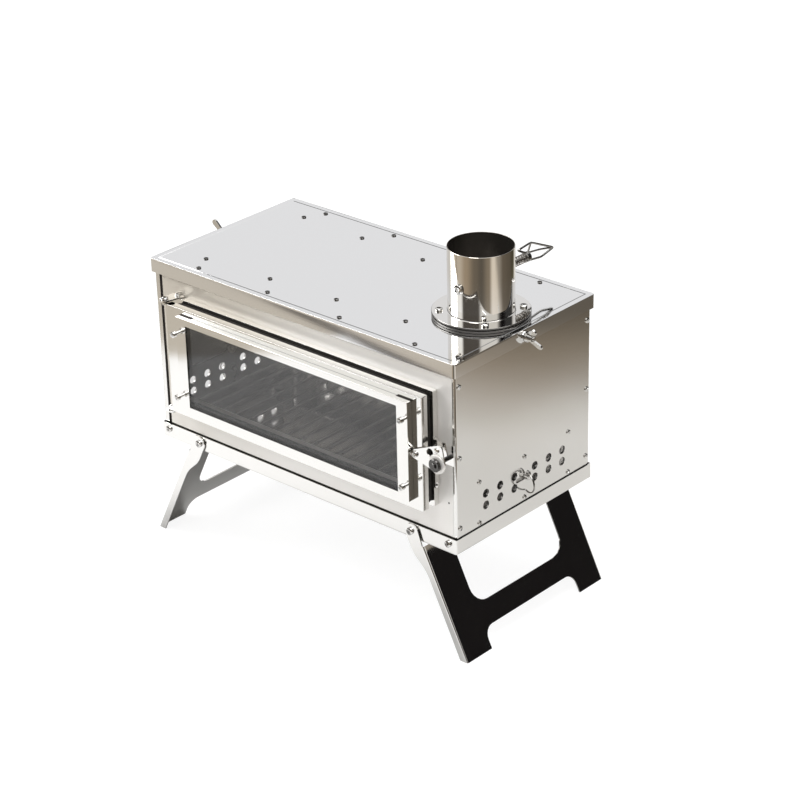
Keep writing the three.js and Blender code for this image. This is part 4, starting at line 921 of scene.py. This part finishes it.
def side_sheet(front_flange):
    """A side panel drawn flat: u runs to the back, v up; the flanges fold inwards."""
    bm = bmesh.new()
    low, high = PANEL_Z
    outer = box_outline(bm, (-HALF_Y, HALF_Y), (low, high))
    edges = list(outer)
    for spot in VENTS:
        edges += circle_outline(bm, spot, VENT_RADIUS)
    edges += wrap_outline(bm, [((-12.0, SLOT_Z), SLOT_RADIUS), ((0.0, SLOT_Z), SLOT_RADIUS)])
    edges += circle_outline(bm, (0.0, WING_Z), BOLT_HOLE)
    folds = [e for e in outer if abs(e.verts[0].co.x - e.verts[1].co.x) < 0.01]
    fill_between(bm, edges)
    for fold in folds:
        depth = front_flange if fold.verts[0].co.x < 0 else 8.5
        made = bmesh.ops.extrude_edge_only(bm, edges=[fold])
        lip = made_verts(made)
        shift(bm, lip, 0, 0, -depth)
    eased(bm, folds, FOLD, 3)
    turned_out(bm, 2)
    inside = FOLD + FLAT_MARGIN
    kept_flat(bm, (inside - HALF_Y, HALF_Y - inside), (), (-inside,))
    return walled(bm, SHEET)


def make_side_panels():
    right = laid(side_sheet(4.2), "right", HALF_X, 0, 0)
    add_piece(right, "right_side_sheet", "stove", PANEL, "polished_steel", "right_side_panel")
    left = side_sheet(7.2)
    bmesh.ops.scale(left, vec=(-1, 1, 1), verts=left.verts)
    bmesh.ops.recalc_face_normals(left, faces=left.faces)
    add_piece(
        laid(left, "left", -HALF_X, 0, 0), "left_side_sheet", "stove", PANEL, "polished_steel",
        "left_side_panel"
    )


def make_side_screws():
    """Edge screws, and the rivets of the slider's guides with their washers inside."""
    for name, sign in SIDES:
        parts = []
        for i, y in enumerate((-107.0, 107.0)):
            for z in (28.5, 111.0, 193.5):
                place = placed(name, Vector((sign * HALF_X, y, BASE_Z + z)), 0.8 * i + z)
                parts.append((cross_head(2.9, 1.8), place))
        for y in (-75.5, 0.0, 75.5):
            for z in (21.5, 70.5):
                spot = Vector((sign * HALF_X, y, BASE_Z + z))
                parts.append((cross_head(2.7, 1.7), placed(name, spot, y)))
                for inner, depth in ((shank(1.6, 4.2), 0.5), (disc(6.5, 0.8), 2.6)):
                    parts.append((inner, placed(INWARD[name], spot - Vector((sign * depth, 0, 0)))))
        add_screw(parts, f"{name}_side_screws")


def make_door_surround():
    hole = window(SURROUND_X, SURROUND_Z, -WINDOW_BORDER, -WINDOW_BORDER)
    bm = folded_pan(SURROUND_X, SURROUND_Z, SURROUND_DEPTH, CRISP_CORNER, CRISP_FOLD, [hole])
    add_piece(
        laid(bm, "front", 0, SURROUND_FACE, 0), "door_surround_sheet", "stove", POLISHED,
        "polished_steel", "door_surround"
    )


# ------------------------------------------------------------------ door
def make_door_frame():
    opening = window(GLASS_X, GLASS_Z, 4, 3)
    pan = folded_pan(DOOR_X, DOOR_Z, DOOR_DEPTH, CRISP_CORNER, CRISP_FOLD, [opening])
    parts = [(pan, lay("front", 0, DOOR_FACE, 0))]
    for way, z in (("up", DOOR_Z[1]), ("down", DOOR_Z[0])):
        flip = 1 if way == "up" else -1
        pivot = (HINGE_X, flip * HINGE_Y)
        outline = wrap([(pivot, 4.3), ((DOOR_X[0] + 4.3, pivot[1]), 4.3)])
        ear = flat_plate(outline, [round_hole(pivot, SCREW_HOLE)], SHEET)
        parts.append((ear, lay(way, 0, 0, z)))
    add_piece(joined(parts), "door_sheet", "door", POLISHED, "polished_steel", "door_frame")


def make_glass_retainer():
    opening = window(GLASS_X, GLASS_Z, 0, 0)
    bm = folded_pan(RETAINER_X, RETAINER_Z, RETAINER_DEPTH, CRISP_CORNER, CRISP_FOLD, [opening])
    add_piece(
        laid(bm, "front", 0, RETAINER_FACE, 0), "retainer_sheet", "door", RETAINER,
        "polished_steel", "glass_retainer"
    )


def make_door_glass():
    bm = flat_plate(window(GLASS_X, GLASS_Z, 8.9, 6, 1.0), [], 5.0)
    add_piece(
        laid(bm, "front", 0, RETAINER_FACE + SHEET + FIT, 0), "glass_pane", "door", GLASS,
        "ceramic_glass", "door_glass"
    )


def make_door_seal():
    inset = 5.5
    y = (SURROUND_FACE + DOOR_FACE + DOOR_DEPTH) / 2
    corners = [
        (DOOR_X[0] + inset, y, DOOR_Z[0] + inset), (DOOR_X[1] - inset, y, DOOR_Z[0] + inset),
        (DOOR_X[1] - inset, y, DOOR_Z[1] - inset), (DOOR_X[0] + inset, y, DOOR_Z[1] - inset)
    ]
    rope = wire(rounded_path(corners, 6.0, closed=True), 4.2, closed=True, sides=4)
    add_piece(rope, "rope_ring", "door", ROPE, "rope_seal", "door_seal")


RETAINER_SCREWS = [
    (x, z)
    for x in (RETAINER_X[0] + 3.5, RETAINER_X[1] - 3.5)
    for z in (RETAINER_Z[0] + 20.0, RETAINER_Z[1] - 18.8)
]


def make_retainer_screws():
    """Long screws that stand off the retainer, threaded into the door."""
    for i, (x, z) in enumerate(RETAINER_SCREWS):
        seat = RETAINER_FACE - 4.0
        head = joined(
            [
                (cross_head(3.4, 2.2), Matrix.Translation((0, 0, 3.3))),
                (spun([(0, 0), (3.0, 0), (3.4, 0.5), (3.4, 3.4), (0, 3.4)], 20), HERE)
            ]
        )
        parts = [
            (head, placed("front", Vector((x, seat, z)), 0.5 + 1.1 * i)),
            (shank(2.0, 16.2), lay("back", x, seat, z)),
            (nut(*NUT), lay("back", x, DOOR_FACE + SHEET + FIT, z))
        ]
        add_screw(parts, f"retainer_screw_set_{i + 1}", "door", f"retainer_screw_{i + 1}")


def make_hinges():
    for name, way, z in (
        ("upper", "up", SURROUND_Z[1] + FIT + PLATE), ("lower", "down", SURROUND_Z[0] - FIT - PLATE)
    ):
        flip = 1 if way == "up" else -1
        back = -112.8 - 1.2
        pivot = (HINGE_X, flip * HINGE_Y)
        outline = wrap([((-189.6, flip * back), 1.2), ((-176.0, flip * back), 1.2), (pivot, 6.0)], 24)
        plate = flat_plate(outline, [round_hole(pivot, SCREW_HOLE)], PLATE)
        away = Vector((0, 0, flip))
        spot = Vector((HINGE_X + 3.0, -115.9, z))
        parts = [(plate, lay(way, 0, 0, z)), *screw(way, spot, (3.0, 2.2, 3.6), (1.5, 5.0), 0.4)]
        add_piece(
            joined(parts), f"{name}_hinge_strap", "stove", POLISHED, "polished_steel",
            f"{name}_hinge_plate", edge=0.25
        )
        pin_spot = Vector((HINGE_X, HINGE_Y, z)) + away * FIT
        ear = DOOR_Z[1] if way == "up" else DOOR_Z[0]
        depth = abs(pin_spot.z - ear) + SHEET + FIT
        pin = screw(way, pin_spot, (4.2, 2.4), (2.0, depth + 3.2), 0.2, depth)
        add_screw(pin, f"{name}_hinge_screw", "stove", f"{name}_hinge_pin")


# ------------------------------------------------------------------ latch
def make_latch():
    x, z = LATCH
    outline = wrap([((x, z), 5.3), ((x + 32.6, z + 15.0), 5.0), (KNOB, 10.5)], 36)
    holes = [
        round_hole((x, z), SCREW_HOLE), round_hole((x + 20.5, z + 8.6), 4.5, 24), round_hole(KNOB, 2.8)
    ]
    plate = flat_plate(outline, holes, PLATE)
    parts = [
        (plate, lay("front", 0, LATCH_FACE, 0)),
        (cross_head(3.0, 1.8), placed("front", Vector((x + 29.8, LATCH_FACE, z + 13.4)), 0.3))
    ]
    add_piece(joined(parts), "latch_arm", "latch", POLISHED, "polished_steel", "latch_plate", edge=0.3)
    knob = spun(
        [
            (0, -22.8), (2.3, -22.8), (2.5, -22.4), (2.5, 1.3), (4.8, 1.3), (4.8, 1.6), (6.7, 1.8),
            (7.3, 2.4), (7.3, 4.6), (6.5, 5.4), (3.4, 5.4), (3.4, 6.1), (2.4, 7.0), (0, 7.0)
        ],
        48
    )
    add_piece(
        laid(knob, "front", KNOB[0], LATCH_FACE - FIT, KNOB[1]), "latch_knob_turned", "latch", DARK,
        "dark_steel", "latch_knob"
    )
    washer = spun([(2.7, 0), (10.9, 0), (10.9, 0.8), (10.5, 1.2), (2.7, 1.2)], 48)
    add_piece(
        laid(washer, "front", KNOB[0], LATCH_FACE - FIT, KNOB[1]), "knob_washer", "latch", WASHER,
        "screw_steel"
    )
    seat = LATCH_FACE - FIT
    depth = DOOR_FACE + SHEET + FIT - seat
    parts = screw("front", Vector((x, seat, z)), (3.6, 2.4), (2.0, 9.0), 0.6, depth)
    parts.append((disc(3.6, 0.9), lay("back", x, LATCH_FACE + 1.8, z)))
    add_screw(parts, "latch_pivot_screw", "door", "latch_screw")


# ------------------------------------------------------------------ flue
FLANGE_SCREW_ANGLES = (45, 135, 225, 315)


def make_flue_plates():
    holes = []
    for angle in FLANGE_SCREW_ANGLES:
        a = math.radians(angle)
        spot = (FLANGE_SCREWS_AT * math.cos(a), FLANGE_SCREWS_AT * math.sin(a))
        holes.append(round_hole(spot, SCREW_HOLE, 12))
    bore = round_hole((0, 0), FLUE_HOLE, 64)
    for name, radius, top, thick, finish, slot, edge in (
        ("collar_base_ring", FLANGE_RADIUS, LID_TOP + 2.5, 2.2, COLLAR_STEEL, "polished_steel", 0.3),
        ("collar_gasket", FLANGE_RADIUS - 1.0, LID_TOP + 3.7, 0.9, GASKET, "gasket_sheet", 0.0)
    ):
        bm = flat_plate(round_hole((0, 0), radius, 72), [bore, *holes], thick)
        add_piece(
            laid(bm, "up", COLLAR_X, 0, top), name + "_plate", "stove", finish, slot, name, edge=edge
        )


def make_flue_collar():
    bore = COLLAR_RADIUS - COLLAR_WALL
    bottom, foot = LID_TOP - 4.5, RING_TOP - 1.8
    top = LID_TOP + 78.8
    profile = [
        (bore, bottom), (COLLAR_RADIUS, bottom), (COLLAR_RADIUS, foot), (FLANGE_RADIUS - 0.3, foot),
        (FLANGE_RADIUS, foot + 0.3), (FLANGE_RADIUS, RING_TOP - 0.3), (FLANGE_RADIUS - 0.3, RING_TOP),
        (COLLAR_RADIUS + 1.3, RING_TOP), (COLLAR_RADIUS + 1.0, RING_TOP),
        (COLLAR_RADIUS + 0.3, RING_TOP + 0.3), (COLLAR_RADIUS, RING_TOP + 1.0),
        (COLLAR_RADIUS, RING_TOP + 1.4), (COLLAR_RADIUS, top - 0.3), (COLLAR_RADIUS - 0.25, top),
        (bore + 0.25, top), (bore, top - 0.3)
    ]
    bm = moved(spun(profile, 96), Matrix.Translation((COLLAR_X, 0, 0)))
    add_piece(bm, "flue_collar_turned", "stove", COLLAR_STEEL, "tinted_steel", "flue_collar")


def make_flange_screws():
    for i, angle in enumerate(FLANGE_SCREW_ANGLES):
        a = math.radians(angle)
        x, y = COLLAR_X + FLANGE_SCREWS_AT * math.cos(a), FLANGE_SCREWS_AT * math.sin(a)
        seat = RING_TOP + FIT
        depth = RING_TOP - (LID_TOP - SHEET) + 2 * FIT
        spot = Vector((x, y, seat))
        parts = screw("up", spot, (4.1, 2.8), (2.0, depth + 2.4), 0.4 + 1.3 * i, depth)
        add_screw(parts, f"flange_screw_set_{i + 1}", "stove", f"flange_screw_{i + 1}")


def make_damper():
    hub_at = 72.5

    def past(y, z):
        return (COLLAR_X, hub_at + y, DAMPER_Z + z)

    loop = rounded_path(
        [past(3, -4.6), past(28, -8), past(49.5, -3.7), past(10.5, 14.5), past(-12, 12.3), past(3, 4.6)],
        3.5
    )
    brace = rounded_path([past(3, 4.6), past(26, 1.5), past(48.2, -3.4)], 6.0)
    strut = [past(10.2, 13.8), past(5, 3.8)]
    hub = spun([(2.8, 0), (5.4, 0), (5.8, 0.5), (5.8, 5.5), (5.4, 6.0), (2.8, 6.0)], 28)
    parts = [
        (wire(loop, 1.25), HERE), (wire(brace, 1.1), HERE), (wire([Vector(p) for p in strut], 1.1), HERE),
        (hub, lay("back", COLLAR_X, hub_at, DAMPER_Z))
    ]
    add_piece(joined(parts), "handle_bent_wire", "damper", HANDLE, "screw_steel", "damper_handle")
    start, length = COLLAR_RADIUS + 1.2, 34.6
    coil = wound(4.6, 0.65, 9.0, length)
    add_piece(
        laid(coil, "back", COLLAR_X, start, DAMPER_Z), "coil_spring", "damper", SPRING,
        "spring_steel", "damper_spring"
    )
    spot = Vector((COLLAR_X, -COLLAR_RADIUS - FIT, DAMPER_Z))
    parts = screw("front", spot, (5.2, 2.6, 5.8), (1.5, 6.0), 0.5)
    add_screw(parts, "shaft_end_screw", "damper", "damper_screw")
    shaft = shank(2.5, 72.5 + 6.0 + 1.0 + 34.4, 24)
    parts = [(shaft, lay("back", COLLAR_X, -34.4, DAMPER_Z))]
    for y in (-16.0, 16.0):
        rivet = spun([(0, 0), (1.5, 0), (1.5, 4.3), (3.0, 4.3), (2.6, 5.2), (1.2, 5.6), (0, 5.6)], 16)
        parts.append((rivet, lay("up", COLLAR_X, y, DAMPER_Z)))
    add_screw(parts, "damper_rod", "damper", "damper_shaft")
    plate = flat_plate(round_hole((0, 0), 34.0, 72), [], 1.2)
    add_piece(
        laid(plate, "up", COLLAR_X, 0, DAMPER_Z + 4.0), "damper_disc", "damper", INNER,
        "dark_steel", "damper_plate", edge=0.2
    )


# ------------------------------------------------------------------ sliders
def make_sliders():
    for name, sign in SIDES:
        studs = [
            (
                spun([(0, -1.6), (4.6, -1.6), (4.6, 0), (2.5, 0), (2.5, 8.0), (0, 8.0)], 24),
                placed(name, Vector((sign * 219.9, 0, SLOT_Z)))
            )
        ]
        eye = (sign * 227.2, SLOT_Z + 5.6)
        outline = wrap([(eye, 3.4), ((sign * 225.2, SLOT_Z), 2.0), ((sign * 227.5, SLOT_Z), 2.0)])
        lug = flat_plate(outline, [round_hole(eye, 1.9, 14)], 2.0)
        studs.append((lug, lay("front", 0, -1.0, 0)))
        add_screw(studs, f"{name}_pull_stud", f"{name}_slider", f"{name}_slider_stud")
        ring = wound(11.2, 0.68, 2.0, 1.4, 40, 10)
        yaw = Matrix.Rotation(-sign * math.radians(14.0), 4, "Z")
        place = Matrix.Translation((sign * 227.2, 0, SLOT_Z + 5.6 - 11.2)) @ yaw
        place = place @ lay("back", 0, -0.65, 0)
        add_piece(
            moved(ring, place), f"{name}_key_ring", f"{name}_ring", HANDLE, "dark_steel",
            f"{name}_split_ring"
        )


# ------------------------------------------------------------------ grate
def make_grate():
    rail_z, rod_z = BASE_Z + 33.5, BASE_Z + 37.2
    parts = []
    for y in (-84.0, 84.0):
        parts.append((shank(2.4, 406.0), lay("right", -203.0, y, rail_z)))
        for x in (-200.6, 200.6):
            parts.append((shank(2.4, rail_z - BASE_Z - 1.3), lay("down", x, y, rail_z)))
    for i in range(21):
        parts.append((shank(1.9, 180.0, 12), lay("back", -200.0 + 20.0 * i, -90.0, rod_z)))
    add_piece(joined(parts), "grate_rods", "stove", GRATE, "brushed_steel", "log_grate")


# ------------------------------------------------------------------ legs
def half_leg():
    """Half of the folded H, about its pivot: x outwards, z up, y < 0 is this half."""
    bm = bmesh.new()
    out, end, low, top = LEG_WEB_OUT, -LEG_HALF_Y, -165.3, -20.0
    web = [(end, top), (-77, top), (-77, -105), (0, -105), (0, -132), (-77, -132), (-77, low), (end, low)]
    verts = [bm.verts.new((out, y, z)) for y, z in web]
    bm.faces.new(verts)
    fillets = ((verts[2], 20.0), (verts[5], 13.0))
    side = [(out, 8.3), (-8.3, 8.3), (-8.3, -24.0), (1.2, -48.0), (1.2, low)]
    ear = [bm.verts.new((x, end, z)) for x, z in side]
    bm.faces.new([verts[7], verts[0], *ear])
    for vert, radius in (*fillets, (ear[0], 9.2), (ear[1], 9.2), (ear[2], 6.0), (ear[3], 8.0)):
        eased(bm, [vert], radius, 6, "VERTICES")
    return bm


def make_legs():
    for name, sign in SIDES:
        bm = half_leg()
        bmesh.ops.mirror(bm, geom=everything(bm), axis="Y", merge_dist=0.01)
        straight(bm)
        folds = [e for e in bm.edges if len(e.link_faces) == 2 and e.calc_face_angle(0) > 1.0]
        eased(bm, folds, LEG_FOLD, 4)
        turned_out(bm, 0)
        inside = LEG_FOLD + FLAT_MARGIN
        kept_flat(bm, (LEG_WEB_OUT - inside,), (inside - LEG_HALF_Y, LEG_HALF_Y - inside))
        bm = walled(bm, PLATE)
        splay = Matrix.Rotation(-LEG_SPLAY, 4, "Y")
        side = Matrix.Rotation(0 if sign > 0 else math.pi, 4, "Z")
        place = Matrix.Translation((sign * LEG_SPOT[0], 0, LEG_SPOT[1])) @ side @ splay
        moved(bm, place)
        bmesh.ops.bisect_plane(
            bm, geom=everything(bm), plane_co=(0, 0, 0), plane_no=(0, 0, -1), clear_outer=True
        )
        bmesh.ops.triangle_fill(bm, use_beauty=True, edges=open_edges(bm), normal=(0, 0, -1))
        bmesh.ops.recalc_face_normals(bm, faces=bm.faces)
        add_piece(bm, f"{name}_leg_sheet", f"{name}_leg_frame", POLISHED, "polished_steel", f"{name}_leg")


def make_leg_and_tray_screws():
    for side, sign in SIDES:
        for end, flip in (("front", -1), ("back", 1)):
            x = sign * LEG_SPOT[0]
            seat = Vector((x, flip * (LEG_HALF_Y + FIT), LEG_SPOT[1]))
            parts = screw(end, seat, (4.2, 2.8), (2.5, 6.0), 0.5 * sign + 0.8)
            name = f"{side}_{end}_leg_screw"
            add_screw(parts, name + "_set", "stove", name)
            seat = Vector((sign * 213.0, flip * (TRAY_HALF[1] + FIT), BASE_Z + 10.5))
            parts = screw(end, seat, (3.9, 2.6), (2.0, 10.2), 0.3 * sign, 7.0)
            name = f"{side}_{end}_tray_screw"
            add_screw(parts, name + "_set", "stove", name)


# ------------------------------------------------------------------ wing nuts
def make_wing_nuts():
    for name, sign in SIDES:
        start = Vector((sign * 217.7, 0, WING_Z))
        bolt = spun([(0, 0), (4.6, 0), (4.6, 3.5), (2.5, 3.5), (2.5, 17.8), (2.1, 18.3), (0, 18.3)], 20)
        add_piece(
            moved(bolt, placed(name, start)), f"{name}_bolt_turned", "stove", FASTENER, "screw_steel",
            f"{name}_wing_bolt"
        )
        hub = spun(
            [(2.8, 0), (5.4, 0), (5.6, 0.3), (5.6, 2.8), (4.8, 3.4), (4.2, 8.2), (3.9, 8.5), (2.8, 8.5)],
            32
        )
        parts = [(hub, HERE)]
        for end in (-1, 1):
            wing = flat_plate(wrap([((end * 3.4, 3.8), 2.9), ((end * 11.2, 13.2), 3.7)], 28), [], 2.2)
            parts.append((wing, placed("front", Vector((0, -1.1, 0)))))
        turn = WING_TURN if sign > 0 else 0.0
        spot = Vector((sign * (LID_HALF[0] + FIT), 0, WING_Z))
        place = Matrix.Translation(spot) @ FACING[name].to_4x4()
        place = place @ Matrix.Rotation(math.pi / 2 + turn, 4, "Z")
        add_piece(
            moved(joined(parts), place), f"{name}_wing_nut_cast", f"{name}_nut", FASTENER, "screw_steel",
            f"{name}_wing_nut", edge=0.4
        )


make_lid()
make_lid_screws()
make_tray()
make_side_panels()
make_side_screws()
make_door_surround()
make_door_frame()
make_glass_retainer()
make_door_glass()
make_door_seal()
make_retainer_screws()
make_hinges()
make_latch()
make_flue_plates()
make_flue_collar()
make_flange_screws()
make_damper()
make_sliders()
make_grate()
make_legs()
make_leg_and_tray_screws()
make_wing_nuts()

# Sheets whose solids already have the right shape keep them.
for name, finish in (
    ("front_panel", FRONT), ("back_panel", PANEL), ("front_lid_rail", INNER), ("back_lid_rail", INNER),
    ("smoke_baffle", INNER), ("latch_catch", POLISHED), ("left_air_slider", INNER),
    ("right_air_slider", INNER)
):
    slots = nodes[name].data.materials
    slots.clear()
    slots.append(finish)


# ------------------------------------------------------------------ studio
# The polished steel mirrors the floor as painted reflections that only glossy rays see: a white sheet
# beneath the stove, with painted shade at its middle, and beyond its edges darker floor that glows in these
# tones, set by bearing.
FAR_FLOOR = [
    (-180.0, (0.30, 0.28, 0.25)), (-160.0, (0.60, 0.55, 0.47)), (-118.0, (0.60, 0.54, 0.46)),
    (-92.0, (0.40, 0.33, 0.25)), (-60.0, (0.18, 0.155, 0.125)), (-42.0, (0.13, 0.116, 0.098)),
    (-20.0, (0.28, 0.24, 0.19)), (-8.0, (0.86, 0.80, 0.72)), (8.0, (0.80, 0.74, 0.66)),
    (26.0, (0.34, 0.29, 0.23)), (48.0, (0.28, 0.24, 0.19)), (78.0, (0.12, 0.11, 0.07)),
    (92.0, (0.95, 0.95, 0.93)), (150.0, (0.75, 0.73, 0.70)), (180.0, (0.30, 0.28, 0.25))
]
FLOOR_RADIUS = 8.0
TOWARDS_EYE = (0.673, -0.740, 0.0)
EYE_RIGHT = (0.740, 0.673, 0.0)
SHEET_FRONT = (0.119, -0.993, 0.0)


def by_bearing(n, direction, stops):
    """A colour that depends on the bearing of a horizontal direction."""
    parts = n.add("ShaderNodeSeparateXYZ")
    n.feed(parts.inputs[0], direction)
    bearing = n.math("ARCTAN2", parts.outputs[1], parts.outputs[0])
    ramp = n.add("ShaderNodeValToRGB")
    ramp.color_ramp.interpolation = "EASE"
    elements = ramp.color_ramp.elements
    while len(elements) < len(stops):
        elements.new(0.5)
    for element, (degrees, colour) in zip(elements, stops):
        element.position = (degrees + 180.0) / 360.0
        element.color = (*colour, 1.0)
    n.feed(ramp.inputs[0], n.spread(bearing, -math.pi, math.pi, smooth=False))
    return ramp.outputs[0]


def make_floor():
    """A pale floor, white to the camera with a faint shadow. To glossy rays it shows painted reflections: a
    white sheet, greyer to the right and with painted shade beneath the stove, and farther out a glowing
    floor in tones by bearing, crossed by a painted dark streak.
    """
    made, n, shader = material("studio_floor")
    place = n.place()
    cloud = n.math("MULTIPLY", n.math("SUBTRACT", n.noise(place, 4.0, 3.0, 0.6), 0.5), 0.16)
    right = n.vector("DOT_PRODUCT", place, EYE_RIGHT, output=1)
    soft_right = n.math("ADD", right, cloud)
    far = n.spread(soft_right, 0.60, 0.84)
    ahead = n.vector("DOT_PRODUCT", place, SHEET_FRONT, output=1)
    leftwards = n.spread(right, -0.60, -0.56, 1.0, 0.0)
    for value, low, high in (
        (n.vector("DOT_PRODUCT", place, TOWARDS_EYE, output=1), 0.47, 0.52),
        (n.math("MULTIPLY", right, -1.0), 0.735, 0.765), (ahead, 0.600, 0.612)
    ):
        far = n.math("MAXIMUM", far, n.spread(value, low, high))
    # A painted dark streak across the far floor, for the steel to mirror.
    painted_streak = n.math("MULTIPLY", n.spread(ahead, 0.572, 0.578), n.spread(ahead, 0.588, 0.596, 1.0, 0.0))
    painted_streak = n.math("MULTIPLY", painted_streak, leftwards)
    far = n.math("MAXIMUM", far, n.math("MULTIPLY", n.spread(ahead, 0.572, 0.578), leftwards))
    n.feed(shader.inputs["Base Color"], (0.82, 0.82, 0.82))
    shader.inputs["Roughness"].default_value = 0.9
    paper = n.add("ShaderNodeEmission")
    paper.inputs["Strength"].default_value = 0.88
    dimmed = n.add("ShaderNodeBsdfDiffuse")
    dimmed.inputs["Color"].default_value = (0.2, 0.2, 0.2, 1.0)
    seen = n.add("ShaderNodeAddShader")
    n.feed(seen.inputs[0], paper.outputs[0])
    n.feed(seen.inputs[1], dimmed.outputs[0])
    # Painted reflection: beyond the sheet the floor glows for glossy rays only, in tones set by bearing and
    # dimmer further right.
    mirrored = n.add("ShaderNodeEmission")
    deep = n.spread(soft_right, 0.8, 1.0, 1.0, 0.45)
    tone = n.vector("SCALE", by_bearing(n, place, FAR_FLOOR), (0, 0, 0))
    n.feed(tone.node.inputs["Scale"], deep)
    n.feed(mirrored.inputs["Color"], n.mix(painted_streak, tone, (0.10, 0.09, 0.08, 1.0)))
    near = n.add("ShaderNodeBsdfDiffuse")
    # Painted shade beneath the stove's footprint, and a painted greying of the sheet to the right; only
    # glossy rays see them.
    under = n.vector("LENGTH", n.vector("MULTIPLY", place, (3.9, 6.2, 0.0)), output=1)
    painted_reflection_tone = n.mix(n.spread(right, 0.05, 0.5), (0.83, 0.83, 0.83), (0.64, 0.63, 0.61))
    n.feed(near.inputs["Color"], n.mix(n.spread(under, 0.9, 1.7, 0.5, 0.0), painted_reflection_tone, (0.05, 0.05, 0.05)))
    reflected = n.mix_shader(far, near.outputs[0], mirrored.outputs[0])
    glossy = n.add("ShaderNodeLightPath").outputs["Is Glossy Ray"]
    lit = n.mix_shader(glossy, shader.outputs[0], reflected)
    surface = n.mix_shader(direct_view(n), lit, seen.outputs[0])
    n.feed(n.tree.nodes["Material Output"].inputs["Surface"], surface)
    bm = bmesh.new()
    bmesh.ops.create_circle(bm, cap_ends=True, segments=64, radius=FLOOR_RADIUS)
    floor = scene_object(bm, "studio_floor")
    floor.data.materials.append(made)


BLACK_SIDE = (0.72, 0.68, 0.14)
# The room that the polished steel mirrors: (direction, inner and outer reach, colour).
ROOM = [
    ((-0.60, 0.66, 0.44), 0.9, 0.5, (0.84, 0.84, 0.85)),
    ((0.04, -0.90, 0.44), 0.93, 0.78, (0.10, 0.09, 0.08)),
    ((-0.76, -0.48, 0.45), 0.93, 0.84, (1.15, 1.15, 1.13)),
    ((0.84, -0.32, 0.45), 0.93, 0.82, (0.86, 0.84, 0.80)), ((0.0, 0.0, 1.0), 0.8, 0.6, (1.0, 1.0, 1.0)),
    ((-0.60, 0.12, 0.76), 0.972, 0.935, (0.16, 0.16, 0.16)),
    (BLACK_SIDE, 0.9, 0.72, (0.010, 0.009, 0.009)), ((0.44, 0.66, 0.58), 0.97, 0.90, (0.05, 0.05, 0.05))
]


def make_room():
    world = bpy.data.worlds.new("studio_room")
    bpy.context.scene.world = world
    world.use_nodes = True
    n = Nodes(world.node_tree)
    direction = n.vector("NORMALIZE", n.add("ShaderNodeTexCoord").outputs["Generated"])
    colour = (0.62, 0.60, 0.57, 1.0)
    height = n.add("ShaderNodeSeparateXYZ")
    n.feed(height.inputs[0], direction)
    low = n.spread(height.outputs[2], 0.17, 0.30, 1.0, 0.0)
    for aim, inner, outer, tone in ROOM:
        if aim == BLACK_SIDE:
            colour = n.mix(low, colour, (0.07, 0.066, 0.062, 1.0))
        along = n.vector("DOT_PRODUCT", direction, tuple(Vector(aim).normalized()), output=1)
        colour = n.mix(n.spread(along, outer, inner), colour, (*tone, 1.0))
    colour = n.mix(direct_view(n), colour, (1.0, 1.0, 1.0, 1.0))
    ground = world.node_tree.nodes["Background"]
    n.feed(ground.inputs["Color"], colour)
    ground.inputs["Strength"].default_value = 1.0


def soft_lamp(name, spot, size, watts, aim=(0, 0, 0.2)):
    data = bpy.data.lights.new(name, "AREA")
    data.shape = "SQUARE"
    data.size = size
    data.energy = watts
    lamp = bpy.data.objects.new(name, data)
    bpy.context.scene.collection.objects.link(lamp)
    look = (Vector(aim) - Vector(spot)).normalized()
    lamp.location = spot
    lamp.rotation_mode = "QUATERNION"
    lamp.rotation_quaternion = look.to_track_quat("-Z", "Y")


make_floor()
make_room()
soft_lamp("softbox_left", (-2.4, -1.2, 2.0), 1.6, 40)
soft_lamp("softbox_front", (0.5, -2.1, 2.7), 1.3, 22)
soft_lamp("softbox_top", (0.4, 0.6, 3.0), 2.0, 40)
